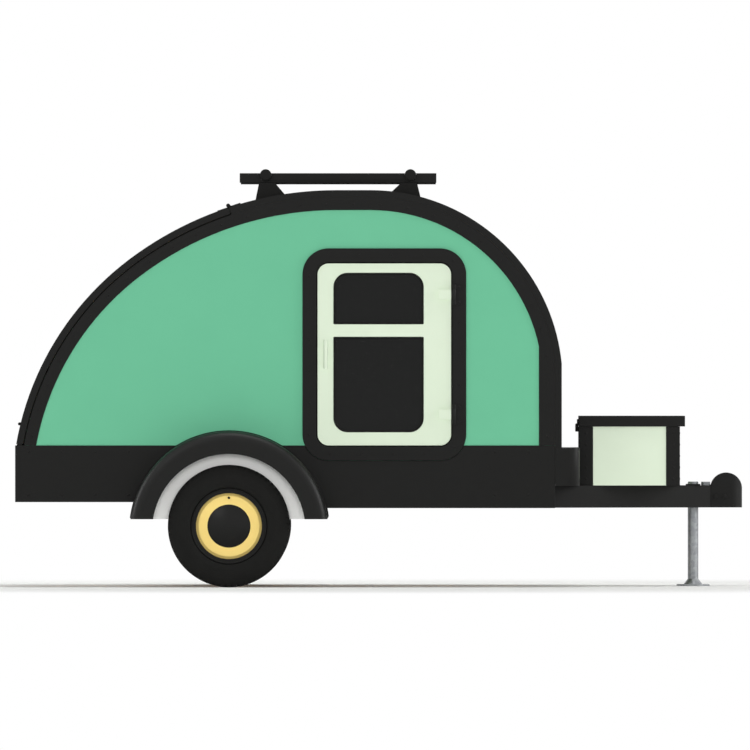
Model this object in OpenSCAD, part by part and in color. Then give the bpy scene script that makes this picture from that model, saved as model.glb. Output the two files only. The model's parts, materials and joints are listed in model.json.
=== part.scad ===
// Teardrop camper trailer: a two-berth sleeping body with a rear galley hatch on a single-axle chassis.
// Frame: +X towards the hitch, +Z up, origin on the ground under the middle of the outline. Millimetres.
// The kerb side, at -Y, is "right"; the street side, at +Y, is "left".

/* [Body] */
// Length of the body from its rear end to its front wall
body_l = 2460; // [2300:10:2700]
// Width over the outer faces of the side walls
body_w = 1400; // [1250:10:1600]
// Height of the roof's crown above the ground
roof_z = 1786; // [1740:2:1860]
// Thickness of the side walls
wall_t = 35; // [28:1:45]
// Thickness of the roof, front and hatch panels
roof_t = 30; // [22:1:40]
// Thickness of the edge trim and skirt sheets on the outside of the walls
skin_t = 5; // [3:0.5:8]
// Width of the black border, from the outline to the edge of the coloured panel
edge_w = 90; // [75:1:110]
// Width of the same border along the upright front edge
edge_front_w = 103; // [90:1:125]

/* [Side outline] */
// Radius of the lower rear curve
rear_low_r = 1327; // [1300:1:1360]
// Radius of the upper rear curve
rear_high_r = 1549; // [1500:1:1600]
// Distance of the crown from the rear end
crown_setback = 1445; // [1400:5:1480]
// Radius of the front curve
front_r = 864; // [840:2:880]
// Distance of the front curve's centre from the front wall
front_setback = 860; // [838:1:864]
// Direction of the joint between roof panel and front panel, from the front curve's centre
front_joint_deg = 50; // [40:1:60]

/* [Hatch] */
// Distance of the hatch hinge from the rear end
hatch_setback = 961; // [900:1:985]
// Running clearance round the hatch and the doors
run_gap = 6; // [5:0.5:8]
// Radius of the hatch hinge barrel
hatch_barrel_r = 9; // [8:0.5:12]
// Radius of the hatch hinge rod
hatch_rod_r = 5; // [4:0.5:6]
// Length of the grab bar on the hatch
hatch_bar_l = 240; // [160:10:400]
// Height of the grab bar above the hatch's lower edge
hatch_bar_rise = 90; // [60:5:160]

/* [Chassis] */
// Length of the drawbar ahead of the front wall, to the tip of the coupler
tongue_l = 820; // [790:10:900]
// Height of the drawbar's underside above the ground
drawbar_z = 355; // [330:1:380]
// Height of the drawbar rails
drawbar_h = 100; // [90:5:110]
// Width of the drawbar rails
drawbar_w = 50; // [40:5:60]
// Angle of each drawbar rail to the centre line
drawbar_deg = 25; // [22:1:27]
// Height of the main rails and cross members
rail_h = 80; // [70:5:100]
// Width of the main rails and cross members
rail_w = 40; // [35:5:50]
// Distance of the main rails from the centre line
rail_y = 560; // [540:5:575]
// Wall of all the chassis tubes
tube_t = 4; // [3:0.5:6]
// Thickness of the floor deck
deck_t = 25; // [18:1:30]

/* [Skirt] */
// Height of the skirt's upper edge above the ground
band_top_z = 637; // [620:1:650]
// Height of the skirt's lower edge behind the wheel
skirt_rear_z = 382; // [370:1:400]
// Height of the skirt's lower edge ahead of the wheel
skirt_front_z = 355; // [340:1:380]
// Height of the front sill's top
sill_top_z = 626; // [600:1:636]

/* [Running gear] */
// Radius of the tyre
tyre_r = 275; // [265:1:285]
// Width of the tyre
tyre_w = 155; // [145:1:165]
// Distance of the axle from the rear end of the body
axle_setback = 963; // [940:1:985]
// Gap between the skirt and the tyre
wheel_gap = 40; // [36:1:60]
// Radius of the wheel's bead seat
rim_r = 152.4; // [150:0.1:155]
// Half of the width between the rim's flanges
rim_half_w = 54; // [50:1:57]
// Radius of the domed hub cap
cap_r = 97; // [85:1:105]
// Radius of the spindle
spindle_r = 20; // [17:0.5:22]
// Radial running clearance of the hub on its spindle
bearing_gap = 0.05; // [0.02:0.01:0.1]
// Side of the square axle beam
beam_w = 70; // [60:5:80]
// Distance of the axle beam ahead of the spindle
arm_lead = 120; // [110:5:140]
// Height of the axle beam's centre above the spindle
arm_rise = 100; // [95:1:110]

/* [Fenders] */
// Radius of the fender's crown
fender_r = 446; // [430:1:460]
// Width of the fender's outer face, from its crown to its inner edge
fender_face = 102; // [90:1:115]
// Distance of the fender's centre below the axle
fender_drop = 20; // [10:1:30]
// Height of the fender's feet above the ground
fender_foot_z = 306; // [301:1:330]
// Thickness of the fender sheet
fender_t = 4; // [3:0.5:6]
// Gap between the tyre's outer side and the fender's outer face
fender_gap = 16; // [12:1:30]
// Radius of the fender's outer edge
fender_round = 45; // [30:1:60]

/* [Doors] */
// Width of the door
door_w = 601; // [560:1:640]
// Height of the door
door_h = 819; // [780:1:830]
// Distance of the door's front edge from the front wall
door_setback = 498; // [470:1:540]
// Radius of the door's corners
door_r = 50; // [40:1:60]
// Width of the black frame round the door
frame_w = 68; // [55:1:75]
// How far the frame stands proud of the wall
frame_proud = 12; // [8:1:16]
// How far the door stands proud of the wall
door_proud = 4; // [2:0.5:6]
// Width of the door's rear stile
stile_rear = 72; // [65:1:80]
// Width of the door's front stile
stile_front = 124; // [110:1:135]
// Height of the door's top rail
rail_top = 43; // [36:1:55]
// Height of the bar between the windows
rail_mid = 58; // [50:1:70]
// Height of the door's bottom rail
rail_low = 60; // [50:1:70]
// Height of the upper window
pane_top_h = 230; // [200:1:250]
// Radius of the windows' outer corners
pane_r = 63; // [50:1:75]
// Thickness of the panes
glass_t = 6; // [4:0.5:8]
// How far the panes reach into the door all round
glass_lap = 10; // [8:1:14]

/* [Tongue box] */
// Gap between the front wall and the box
box_gap = 81; // [78:1:110]
// Length of the box
box_l = 455; // [420:1:470]
// Width of the box
box_w = 600; // [520:10:700]
// Height of the box below its lid
box_h = 266; // [230:1:300]
// Width of the black corner angles
corner_w = 63; // [50:1:75]
// Height of the lid
lid_h = 48; // [40:1:60]
// Overhang of the lid at the front
lid_over = 23; // [15:1:30]
// Sheet thickness of the box and its lid
box_t = 4; // [3:0.5:6]

/* [Roof rack] */
// Distance of the rack's rear end ahead of the hatch hinge
rack_setback = 49; // [40:1:100]
// Length of the rack's rails
rack_l = 886; // [860:2:960]
// Distance of the rails from the centre line
rack_y = 560; // [480:5:640]
// Height of the rails' underside above the crown
rack_rise = 34; // [28:1:60]
// Height of the rails
rack_rail_h = 43; // [36:1:50]
// Width of the rails
rack_rail_w = 32; // [26:1:40]
// Radius of the cross bars
rack_bar_r = 26; // [22:0.5:28]
// How far the middle of the cross bars lies below the top of the rails
rack_bar_sink = 8; // [4:0.5:12]
// Distance of each cross bar from the nearer end of the rails
rack_foot_in = 117; // [105:1:140]

/* [Coupler and stand] */
// Radius of the coupler's dome
coupler_r = 72; // [66:1:76]
// Height of the coupler's dome above the drawbar
coupler_rise = 58; // [50:1:64]
// Half of the coupler's width
coupler_half_w = 48; // [44:1:52]
// Radius of the ball socket
socket_r = 25.4; // [25.2:0.1:26]
// Depth of the socket's straight wall
socket_l = 40; // [30:1:50]
// Radius of the prop stand's tube
stand_r = 24; // [21:0.5:24]
// Radius of the prop stand's foot plate
stand_foot_r = 75; // [60:1:90]
// Radial clearance of the prop stand in its sleeve
stand_gap = 0.4; // [0.3:0.1:1]

/* [Inside] */
// Height of the galley counter's top above the ground
counter_z = 950; // [900:5:980]
// Gap between the closed hatch and the counter's rear edge
counter_gap = 20; // [15:1:60]
// Width of the board left round each locker's opening below the counter
locker_frame = 55; // [40:1:80]
// Height of the galley shelf's top above the ground
shelf_z = 1168; // [1120:2:1240]
// Depth of the galley shelf
shelf_d = 230; // [180:5:280]
// Thickness of the inside panels
panel_t = 18; // [15:1:22]
// Length of the berth under the counter, behind the upper bulkhead
foot_well_l = 480; // [420:10:520]
// Thickness of the mattress
mattress_t = 100; // [80:5:110]

/* [Hidden] */
$fn = 96;
green = "#6DBF98";
cream = "#E1EED8";
black = "#1D1D1B";
yellow = "#FBDC80";
white = "#F4F4F0";
ply = "#C9A574";
steel = "#8A8C8E";
rubber = "#20201F";
// Clearance between pieces that are fixed together
seat = 0.3;
// Longer than any dimension of the trailer, for cutting
reach = 6000;
// How far a cut runs past the face that it goes through
past = 10;
// How far the curves of the side outline run into one another
lap = 1;

// Places along the trailer
rear_x = -(body_l + tongue_l) / 2;
front_x = rear_x + body_l;
nose_x = front_x + tongue_l;
axle_x = rear_x + axle_setback;

// Places across the trailer
half_w = body_w / 2;
skin_y = half_w + skin_t;
inner_y = half_w - wall_t;
tyre_y = skin_y + wheel_gap;
wheel_y = tyre_y + tyre_w / 2;
fender_y = tyre_y + tyre_w + fender_gap + fender_t;

// Heights
rail_z = drawbar_z + drawbar_h;
deck_z = rail_z + rail_h;
floor_z = deck_z + deck_t;
axle_z = tyre_r;

// Side outline: centres of its curves as [x, z], and the hatch's seam
// The two rear curves meet on a line that runs back 3 and up 4 through both centres
rear_join_deg = atan2(4, -3);
c_high = [rear_x + crown_setback, roof_z - rear_high_r];
c_low = c_high + (rear_high_r - rear_low_r) * [cos(rear_join_deg), sin(rear_join_deg)];
c_front = [front_x - front_setback, roof_z - front_r];
seam_deg = acos((rear_x + hatch_setback - c_high[0]) / rear_high_r);
// Height of the outline on its upper rear curve at a place x
function rear_roof_z(x) = c_high[1] + sqrt(pow(rear_high_r, 2) - pow(x - c_high[0], 2));
// Height of the outline ahead of the crown at a place x
function front_roof_z(x) =
    x < c_front[0] ? roof_z : c_front[1] + sqrt(pow(front_r, 2) - pow(x - c_front[0], 2));
function outline_z(x) = min(x < c_high[0] ? rear_roof_z(x) : roof_z, front_roof_z(x));
// Place of the outline at the tail at a height z, drawn in by inset
function tail_x(z, inset) =
    max(rear_x + inset, c_low[0] - sqrt(pow(rear_low_r - inset, 2) - pow(z - c_low[1], 2)));

// Door
door_x1 = front_x - door_setback;
door_x0 = door_x1 - door_w;
door_z0 = band_top_z;
door_z1 = door_z0 + door_h;
door_y = half_w + door_proud;
door_in_y = door_y - wall_t;
// Door hinges: axis, and the heights of their middles
hinge_r = 8;
hinge_pin_r = 4.5;
hinge_x = door_x1 + run_gap + hinge_r;
hinge_y = half_w + frame_proud + hinge_r + seat;
hinge_h = 90;
hinge_in = 140;
hinge_zs = [door_z0 + hinge_in, door_z1 - hinge_in];
knuckle_gap = 1;
pin_gap = 0.05;
leaf_t = 4;
leaf_l = 70;

// Hatch hinge axis as [x, z]: the barrel lies on the outline at the seam
hatch_axis = c_high + (rear_high_r + hatch_barrel_r) * [cos(seam_deg), sin(seam_deg)];
hatch_low_z = band_top_z + run_gap;

// Tongue box
box_x0 = front_x + box_gap;
box_x1 = box_x0 + box_l;
box_z0 = rail_z + seat;
box_z1 = box_z0 + box_h;
lid_r = 7;
lid_pin_r = 3.5;
lid_axis = [box_x0 - lid_r - seat, box_z1 + lid_r];

// Roof rack
rack_x0 = rear_x + hatch_setback + rack_setback;
rack_z0 = roof_z + rack_rise;
rack_z1 = rack_z0 + rack_rail_h;
rack_bar_z = rack_z1 - rack_bar_sink;
foot_xs = [rack_x0 + rack_foot_in, rack_x0 + rack_l - rack_foot_in];
foot_w = 60;
// Reach of a foot from its cross bar, at its top and on the roof: [outward, inward]
foot_top = [30, 42];
foot_base = [48, 93];

// Coupler and stand
coupler_x = nose_x - coupler_r;
drawbar_x1 = coupler_x - coupler_r - seat;
socket_x = nose_x - coupler_half_w;
rail_span = drawbar_w / cos(drawbar_deg);
// Distance of a drawbar rail's middle from the centre line at a place x
function drawbar_y(x) = rail_span / 2 + (drawbar_x1 - x) * tan(drawbar_deg);
drawbar_x0 = drawbar_x1 - (rail_y - rail_span / 2) / tan(drawbar_deg);
stand_wall = 8;
// The sleeve fills the nose between the two drawbar rails
stand_x = drawbar_x1 - (stand_r + stand_gap + stand_wall + seat) / sin(drawbar_deg);
stand_rise = 15;
stand_z1 = rail_z + stand_rise;

// Inside
bulkhead_x = c_high[0] + (rear_high_r - roof_t) * cos(seam_deg) + past;
well_x = bulkhead_x - foot_well_l;
counter_x = tail_x(counter_z, roof_t) + counter_gap;

// A solid whose outline is drawn in the side view, between two places across the trailer
module across(y0, y1) {
    translate([0, max(y0, y1), 0]) rotate([90, 0, 0]) linear_extrude(abs(y1 - y0)) children();
}

// Draws a kerb-side piece, or its mirror image on the street side
module on_side(left) {
    if (left) mirror([0, 1, 0]) children();
    else children();
}

module both_sides() {
    children();
    mirror([0, 1, 0]) children();
}

// A turned piece on a wheel's axis; its section is drawn as [radius, distance from the centre line]
module turned(angle = 360) {
    translate([axle_x, 0, axle_z]) rotate([90, 0, 0]) rotate_extrude(angle = angle) children();
}

module rounded_rect(x0, z0, x1, z1, r) {
    translate([x0 + r, z0]) square([x1 - x0 - 2 * r, z1 - z0]);
    translate([x0, z0 + r]) square([x1 - x0, z1 - z0 - 2 * r]);
    for (x = [x0 + r, x1 - r], z = [z0 + r, z1 - r]) translate([x, z]) circle(r);
}

// Half planes on either side of a line through a point at an angle
module left_of(point, angle, gap = 0) {
    translate(point) rotate(angle) translate([-reach, gap / 2]) square([2 * reach, reach]);
}

module right_of(point, angle, gap = 0) {
    translate(point) rotate(angle) translate([-reach, -reach - gap / 2]) square([2 * reach, reach]);
}

// Both rear curves, drawn in by inset: two half discs that touch along the line through their centres
module rear_curves(inset) {
    translate(c_high) rotate(rear_join_deg) {
        intersection() {
            translate([rear_high_r - rear_low_r, 0]) circle(rear_low_r - inset, $fn = 720);
            translate([-reach, 0]) square([2 * reach, reach]);
        }
        intersection() {
            circle(rear_high_r - inset, $fn = 720);
            translate([-reach, -reach]) square([2 * reach, reach]);
        }
    }
}

// The body's side outline, drawn in by inset all round and cut off at a height low
module outline(inset, front_inset, rear_inset, low) {
    intersection() {
        translate([rear_x + rear_inset, low])
            square([body_l - rear_inset - front_inset, 2 * roof_z]);
        if (c_front[0] > c_high[0]) {
            intersection() {
                rear_curves(inset);
                translate([c_high[0] + lap - reach, -reach]) square([reach, 2 * reach]);
            }
            translate([c_high[0], low - past])
                square([c_front[0] - c_high[0], roof_z - inset - low + past]);
            intersection() {
                translate(c_front) circle(front_r - inset, $fn = 720);
                translate([c_front[0] - lap, -reach]) square([reach, 2 * reach]);
            }
            translate([c_front[0] - lap, -reach]) square([reach, reach + c_front[1]]);
        }
        // On a short body the rear and front curves cross, with no flat between them
        else intersection() {
            rear_curves(inset);
            union() {
                translate(c_front) circle(front_r - inset, $fn = 720);
                translate([c_front[0] + lap - reach, -reach]) square([reach, 2 * reach]);
                translate([c_front[0] - lap, -reach]) square([reach, reach + c_front[1]]);
            }
        }
    }
}

// The bent panel that closes the body from the sill over the roof to the tail
module shell_ring(low) {
    difference() {
        outline(0, 0, 0, low);
        outline(roof_t, roof_t, roof_t, low - past);
    }
}

// A side wall's outline: against the roof ahead of the seam, clear of the hatch behind it
module wall_outline(low) {
    intersection() {
        outline(roof_t + run_gap, roof_t + seat, roof_t + run_gap, low);
        left_of(c_high, seam_deg, -2 * past);
    }
    intersection() {
        outline(roof_t + seat, roof_t + seat, roof_t + run_gap, low);
        right_of(c_high, seam_deg);
    }
}

module door_outline(grow) {
    rounded_rect(door_x0 - grow, door_z0 - grow, door_x1 + grow, door_z1 + grow, door_r + grow);
}

// A box tube between two places along the trailer
module tube_x(x0, x1, y, z) {
    difference() {
        translate([x0, y - rail_w / 2, z]) cube([x1 - x0, rail_w, rail_h]);
        translate([x0 - past, y - rail_w / 2 + tube_t, z + tube_t])
            cube([x1 - x0 + 2 * past, rail_w - 2 * tube_t, rail_h - 2 * tube_t]);
    }
}

module main_rails() {
    color(black) for (y = [-rail_y, rail_y])
        tube_x(rear_x + roof_t + seat, front_x - roof_t - seat, y, rail_z);
}

module cross_members() {
    half = rail_y - rail_w / 2 - seat;
    middle_x = axle_x + arm_lead;
    // Middles of the cross members along the trailer
    places = [
        rear_x + roof_t + rail_w, (rear_x + middle_x) / 2, middle_x,
        (middle_x + front_x) / 2, front_x - roof_t - rail_w
    ];
    color(black) for (x = places) difference() {
        translate([x - rail_w / 2, -half, rail_z]) cube([rail_w, 2 * half, rail_h]);
        translate([x - rail_w / 2 + tube_t, -half - past, rail_z + tube_t])
            cube([rail_w - 2 * tube_t, 2 * (half + past), rail_h - 2 * tube_t]);
    }
}

// Plan of one drawbar rail, drawn in by inset at its two long faces
module drawbar_plan(inset) {
    y0 = drawbar_y(drawbar_x0);
    half = rail_span / 2 - inset / cos(drawbar_deg);
    polygon([
        [drawbar_x1, rail_span / 2 - half], [drawbar_x1, rail_span / 2 + half],
        [drawbar_x0, y0 + half], [drawbar_x0, y0 - half]
    ]);
}

module drawbar_rails() {
    color(black) both_sides() difference() {
        translate([0, seat / 2, drawbar_z]) linear_extrude(drawbar_h) drawbar_plan(0);
        intersection() {
            translate([0, seat / 2, drawbar_z + tube_t])
                linear_extrude(drawbar_h - 2 * tube_t) drawbar_plan(tube_t);
            translate([drawbar_x0 - past, 0, 0])
                cube([drawbar_x1 - drawbar_x0 + past - tube_t, reach, reach]);
        }
    }
}

// Pressed coupler: a dome over the ball socket, on a body as deep as the drawbar
module coupler() {
    dome_z = rail_z + coupler_rise - coupler_r;
    color(black) difference() {
        intersection() {
            across(-coupler_half_w, coupler_half_w) union() {
                translate([coupler_x, dome_z]) circle(coupler_r);
                translate([coupler_x - coupler_r, drawbar_z])
                    square([2 * coupler_r, dome_z - drawbar_z]);
            }
            translate([0, 0, drawbar_z]) linear_extrude(2 * drawbar_h) union() {
                translate([socket_x, 0]) circle(coupler_half_w);
                translate([coupler_x - coupler_r, -coupler_half_w])
                    square([socket_x - coupler_x + coupler_r, 2 * coupler_half_w]);
            }
        }
        translate([socket_x, 0, drawbar_z - past]) cylinder(r = socket_r, h = socket_l + past);
        translate([socket_x, 0, drawbar_z + socket_l]) sphere(socket_r);
    }
}

// Latch lever that lies on the drawbar's nose behind the dome
module coupler_latch() {
    sleeve_gap = 4;
    lever_l = drawbar_x1 - stand_x - stand_r - stand_gap - stand_wall - sleeve_gap;
    lever_w = 26;
    lever_h = 16;
    color(steel) translate([drawbar_x1 - lever_l, 0, rail_z + seat]) {
        translate([lever_w / 2, 0, 0]) cylinder(d = lever_w, h = lever_h);
        translate([lever_w / 2, -lever_w / 2, 0]) cube([lever_l - lever_w / 2, lever_w, lever_h]);
    }
}

// Collar and top plate that hold the prop stand in the drawbar's nose
module stand_sleeve() {
    plate_t = 6;
    collar_lift = 10;
    collar_r = stand_r + stand_gap + stand_wall;
    plate_half = drawbar_y(stand_x) + rail_span / 2;
    color(black) difference() {
        union() {
            translate([stand_x, 0, drawbar_z + collar_lift])
                cylinder(r = collar_r, h = drawbar_h - collar_lift + seat);
            translate([stand_x - collar_r, -plate_half, rail_z + seat])
                cube([2 * collar_r, 2 * plate_half, plate_t]);
        }
        translate([stand_x, 0, drawbar_z - past])
            cylinder(r = stand_r + stand_gap, h = drawbar_h + 4 * past);
    }
}

// Tube with a dished foot plate and a cap; it slides in the sleeve
module prop_stand() {
    foot_t = 8;
    tube_wall = 4;
    color(steel) translate([stand_x, 0, 0]) {
        cylinder(r = stand_foot_r, h = foot_t);
        translate([0, 0, foot_t]) cylinder(r1 = stand_r * 1.8, r2 = stand_r, h = stand_r);
        difference() {
            cylinder(r = stand_r, h = stand_z1);
            translate([0, 0, foot_t + stand_r]) cylinder(r = stand_r - tube_wall, h = stand_z1);
        }
        translate([0, 0, stand_z1 - 3 * tube_wall])
            cylinder(r = stand_r - tube_wall / 2, h = 3 * tube_wall + 2);
    }
}

// How far the trailing arms stand inside the faces of the walls
arm_in = 15;

// Square axle beam with the brackets that bolt it under the main rails
module axle_beam() {
    beam_x = axle_x + arm_lead;
    beam_z = axle_z + arm_rise;
    bracket_w = 120;
    half = inner_y - arm_in - seat;
    color(black) {
        difference() {
            translate([beam_x - beam_w / 2, -half, beam_z - beam_w / 2]) cube([beam_w, 2 * half, beam_w]);
            translate([beam_x - beam_w / 2 + tube_t, -half - past, beam_z - beam_w / 2 + tube_t])
                cube([beam_w - 2 * tube_t, 2 * (half + past), beam_w - 2 * tube_t]);
        }
        for (y = [-rail_y, rail_y]) translate([beam_x - bracket_w / 2, y - rail_w / 2, beam_z + beam_w / 2])
            cube([bracket_w, rail_w, rail_z - beam_z - beam_w / 2]);
    }
}

// Trailing arms of the rubber torsion axle, each with its spindle
module axle_arms() {
    arm_y0 = inner_y - arm_in;
    arm_y1 = half_w - arm_in;
    big_r = beam_w / 2;
    small_r = spindle_r + 12;
    beam_at = [axle_x + arm_lead, axle_z + arm_rise];
    spindle_at = [axle_x, axle_z];
    lean = atan2(arm_rise, arm_lead) + 90;
    // Share of the end bosses' radii that the arm's web is wide
    waist = 0.8;
    across_arm = [cos(lean), sin(lean)];
    color(black) both_sides() {
        across(-arm_y0, -arm_y1) union() {
            translate(beam_at) circle(big_r);
            translate(spindle_at) circle(small_r);
            polygon([
                beam_at + waist * big_r * across_arm, beam_at - waist * big_r * across_arm,
                spindle_at - waist * small_r * across_arm, spindle_at + waist * small_r * across_arm
            ]);
        }
        turned() translate([0, arm_y1]) square([spindle_r, wheel_y + 20 - arm_y1]);
    }
}

// A square with one rounded corner, as the outer side of a fender's section
module fender_edge(r, y, corner) {
    square([r - corner, y]);
    square([r, y - corner]);
    translate([r - corner, y - corner]) circle(corner);
}

// One pressed fender: a half-round crown with a flat outer face and a rolled inner edge
module fender(left) {
    bead_r = 7;
    on_side(left) color(black) intersection() {
        translate([0, 0, -fender_drop]) turned(180) union() {
            difference() {
                fender_edge(fender_r, fender_y, fender_round);
                fender_edge(fender_r - fender_t, fender_y - fender_t, fender_round - fender_t);
                square([fender_r - fender_face, reach]);
                square([reach, skin_y + seat]);
            }
            translate([fender_r - fender_face + bead_r, fender_y - bead_r]) circle(bead_r);
        }
        translate([-reach / 2, -reach / 2, fender_foot_z]) cube(reach);
    }
}

// White panels behind the wheels, inside the fenders
module splash_panels() {
    panel = 4;
    color(white) both_sides() across(-skin_y - seat, -skin_y - seat - panel) intersection() {
        translate([axle_x, axle_z - fender_drop]) circle(fender_r - fender_t - seat);
        translate([-reach / 2, fender_foot_z]) square(reach);
    }
}

// Black lower side panel, deeper ahead of the wheel than behind it
module skirt(left) {
    end_x = front_x - roof_t - seat;
    on_side(left) color(black) across(-half_w, -skin_y) difference() {
        union() {
            translate([rear_x, skirt_rear_z]) square([axle_x - rear_x, band_top_z - skirt_rear_z]);
            translate([axle_x, skirt_front_z]) square([end_x - axle_x, band_top_z - skirt_front_z]);
        }
        door_outline(frame_w + seat);
    }
}

lamp_y = 520;
lamp_w = 150;
lamp_h = 80;
lamp_z = (band_top_z + skirt_rear_z) / 2;
lamp_t = 20;

// Outlines of the two lamps in the rear view
module lamp_pair(grow) {
    for (y = [-lamp_y, lamp_y]) rounded_rect(
        y - lamp_w / 2 - grow, lamp_z - lamp_h / 2 - grow,
        y + lamp_w / 2 + grow, lamp_z + lamp_h / 2 + grow, lamp_h / 4
    );
}

// A solid whose outline is drawn in the rear view, as [y, z], from x0 to x1
module along(x0, x1) {
    translate([x0, 0, 0]) rotate([90, 0, 90]) linear_extrude(x1 - x0) children();
}

// Panel below the hatch, with pockets for the lamps
module rear_valance() {
    half = half_w - seat;
    color(black) difference() {
        along(rear_x, rear_x + roof_t) translate([-half, skirt_rear_z])
            square([2 * half, band_top_z - skirt_rear_z - seat]);
        along(rear_x - past, rear_x + lamp_t + seat) lamp_pair(seat);
    }
}

module tail_lamps() {
    color("#B5261E") along(rear_x, rear_x + lamp_t) lamp_pair(0);
}

// Bent sheet ledge across the front of the body, on top of the drawbar
module front_sill() {
    corner = 45;
    sheet = 5;
    back_x = front_x - roof_t;
    module plan(inset) {
        x1 = box_x0 - seat - inset;
        y1 = skin_y - inset;
        r = corner - inset;
        translate([back_x - (inset > 0 ? past : 0), -y1])
            square([x1 - r - back_x + (inset > 0 ? past : 0), 2 * y1]);
        translate([x1 - r - 1, -y1 + r]) square([r + 1, 2 * (y1 - r)]);
        for (y = [-y1 + r, y1 - r]) translate([x1 - r, y]) circle(r);
    }
    color(black) difference() {
        translate([0, 0, rail_z + seat]) linear_extrude(sill_top_z - rail_z - seat) plan(0);
        translate([0, 0, rail_z - past]) linear_extrude(sill_top_z - sheet - rail_z + past) plan(sheet);
        // Room for the ends of the main rails and the front of the deck
        translate([back_x - past, -inner_y, rail_z - past]) cube([past + seat, 2 * inner_y, reach]);
    }
}

module floor_deck() {
    x0 = rear_x + roof_t + seat;
    half = inner_y - seat;
    color(ply) translate([x0, -half, deck_z]) cube([front_x - roof_t - seat - x0, 2 * half, deck_t]);
}

module side_wall(left) {
    on_side(left) color(green) across(-half_w, -inner_y) difference() {
        wall_outline(rail_z);
        door_outline(2 * run_gap + seat);
    }
}

// Black edging on the outside of a wall, inside the roof's edge
module edge_trim(left) {
    low = band_top_z + seat;
    on_side(left) color(black) across(-half_w, -skin_y) difference() {
        wall_outline(low);
        outline(edge_w, edge_front_w, edge_w, low - past);
    }
}

module roof_shell() {
    color(black) across(-skin_y, skin_y) intersection() {
        shell_ring(band_top_z);
        right_of(c_high, seam_deg, run_gap);
        left_of(c_front, front_joint_deg, seat);
    }
}

module front_shell() {
    color(black) across(-skin_y, skin_y) intersection() {
        shell_ring(sill_top_z + seat);
        right_of(c_front, front_joint_deg, seat);
    }
}

module hatch() {
    color(black) across(-skin_y, skin_y) intersection() {
        shell_ring(hatch_low_z);
        left_of(c_high, seam_deg, run_gap);
    }
}

// Hatch hinge: three fixed and two moving knuckles on one rod
hatch_hinge_in = 50;
hatch_half = half_w - hatch_hinge_in;
hatch_step = 2 * hatch_half / 5;

// Sections of one leaf and its knuckle in the side view: side is 1 behind the seam and -1 ahead of it
module leaf_section(side) {
    leaf = 55;
    difference() {
        union() {
            translate(hatch_axis) circle(hatch_barrel_r);
            translate(c_high) rotate(seam_deg)
                translate([rear_high_r, side > 0 ? 0 : -leaf]) square([leaf_t, leaf]);
        }
        translate(c_high) circle(rear_high_r + seat, $fn = 720);
        if (side > 0) translate(hatch_axis) circle(hatch_rod_r + pin_gap);
    }
}

module hatch_hinge() {
    color(steel) {
        for (k = [0, 2, 4]) across(
            -hatch_half + k * hatch_step + knuckle_gap, -hatch_half + (k + 1) * hatch_step - knuckle_gap
        ) leaf_section(-1);
        across(-hatch_half, hatch_half) translate(hatch_axis) circle(hatch_rod_r);
    }
}

module hatch_knuckles() {
    color(steel) for (k = [1, 3]) across(
        -hatch_half + k * hatch_step + knuckle_gap, -hatch_half + (k + 1) * hatch_step - knuckle_gap
    ) leaf_section(1);
}

// Grab bar low on the hatch, on two posts
module hatch_bar() {
    bar_r = 7;
    post_r = 6;
    post_in = 20;
    post_l = 40;
    stand_off = 11;
    bar_z = hatch_low_z + hatch_bar_rise;
    bar_x = tail_x(bar_z, 0) - stand_off;
    color(steel) difference() {
        union() {
            across(-hatch_bar_l / 2, hatch_bar_l / 2) translate([bar_x, bar_z]) circle(bar_r);
            for (y = [-1, 1] * (hatch_bar_l / 2 - post_in)) translate([bar_x, y, bar_z])
                rotate([0, 90, 0]) cylinder(r = post_r, h = post_l);
        }
        across(-hatch_bar_l, hatch_bar_l) outline(-seat, -seat, -seat, hatch_low_z);
    }
}

// Upper bulkhead under the hatch hinge, lower bulkhead at the end of the berth, and the partition
// between the two lockers below the counter
module bulkheads() {
    half = inner_y - seat;
    low = floor_z + seat;
    board_h = counter_z - panel_t - seat - low;
    locker_x0 = counter_x + panel_t + seat;
    color(ply) {
        across(-half, half) intersection() {
            outline(roof_t + seat, roof_t + seat, roof_t + run_gap, counter_z - panel_t);
            translate([bulkhead_x, 0]) square([panel_t, reach]);
        }
        translate([well_x - panel_t, -half, low]) cube([panel_t, 2 * half, board_h]);
        translate([locker_x0, -panel_t / 2, low])
            cube([well_x - panel_t - seat - locker_x0, panel_t, board_h]);
    }
}

// Worktop between the walls, from the upper bulkhead to the hatch
module galley_counter() {
    half = inner_y - seat;
    color(ply) translate([counter_x, -half, counter_z - panel_t])
        cube([bulkhead_x - seat - counter_x, 2 * half, panel_t]);
}

// Front board of the lockers below the counter, with one opening for each locker
module galley_front() {
    half = inner_y - seat;
    low = floor_z + seat;
    high = counter_z - panel_t - seat;
    corner = 40;
    color(ply) along(counter_x, counter_x + panel_t) difference() {
        translate([-half, low]) square([2 * half, high - low]);
        for (side = [0, 1]) mirror([side, 0]) rounded_rect(
            locker_frame / 2, low + locker_frame, half - locker_frame, high - locker_frame, corner
        );
    }
}

// Shelf on the galley side of the upper bulkhead, with a lip along its edge
module galley_shelf() {
    half = inner_y - seat;
    lip_t = 12;
    lip_h = 35;
    x1 = bulkhead_x - seat;
    color(ply) translate([x1 - shelf_d, -half, shelf_z - panel_t]) {
        cube([shelf_d, 2 * half, panel_t]);
        cube([lip_t, 2 * half, panel_t + lip_h]);
    }
}

module mattress() {
    gap = 20;
    color("#D9D4C6") translate([well_x + gap, -inner_y + gap, floor_z + seat])
        cube([front_x - roof_t - gap - well_x - gap, 2 * (inner_y - gap), mattress_t]);
}

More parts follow.
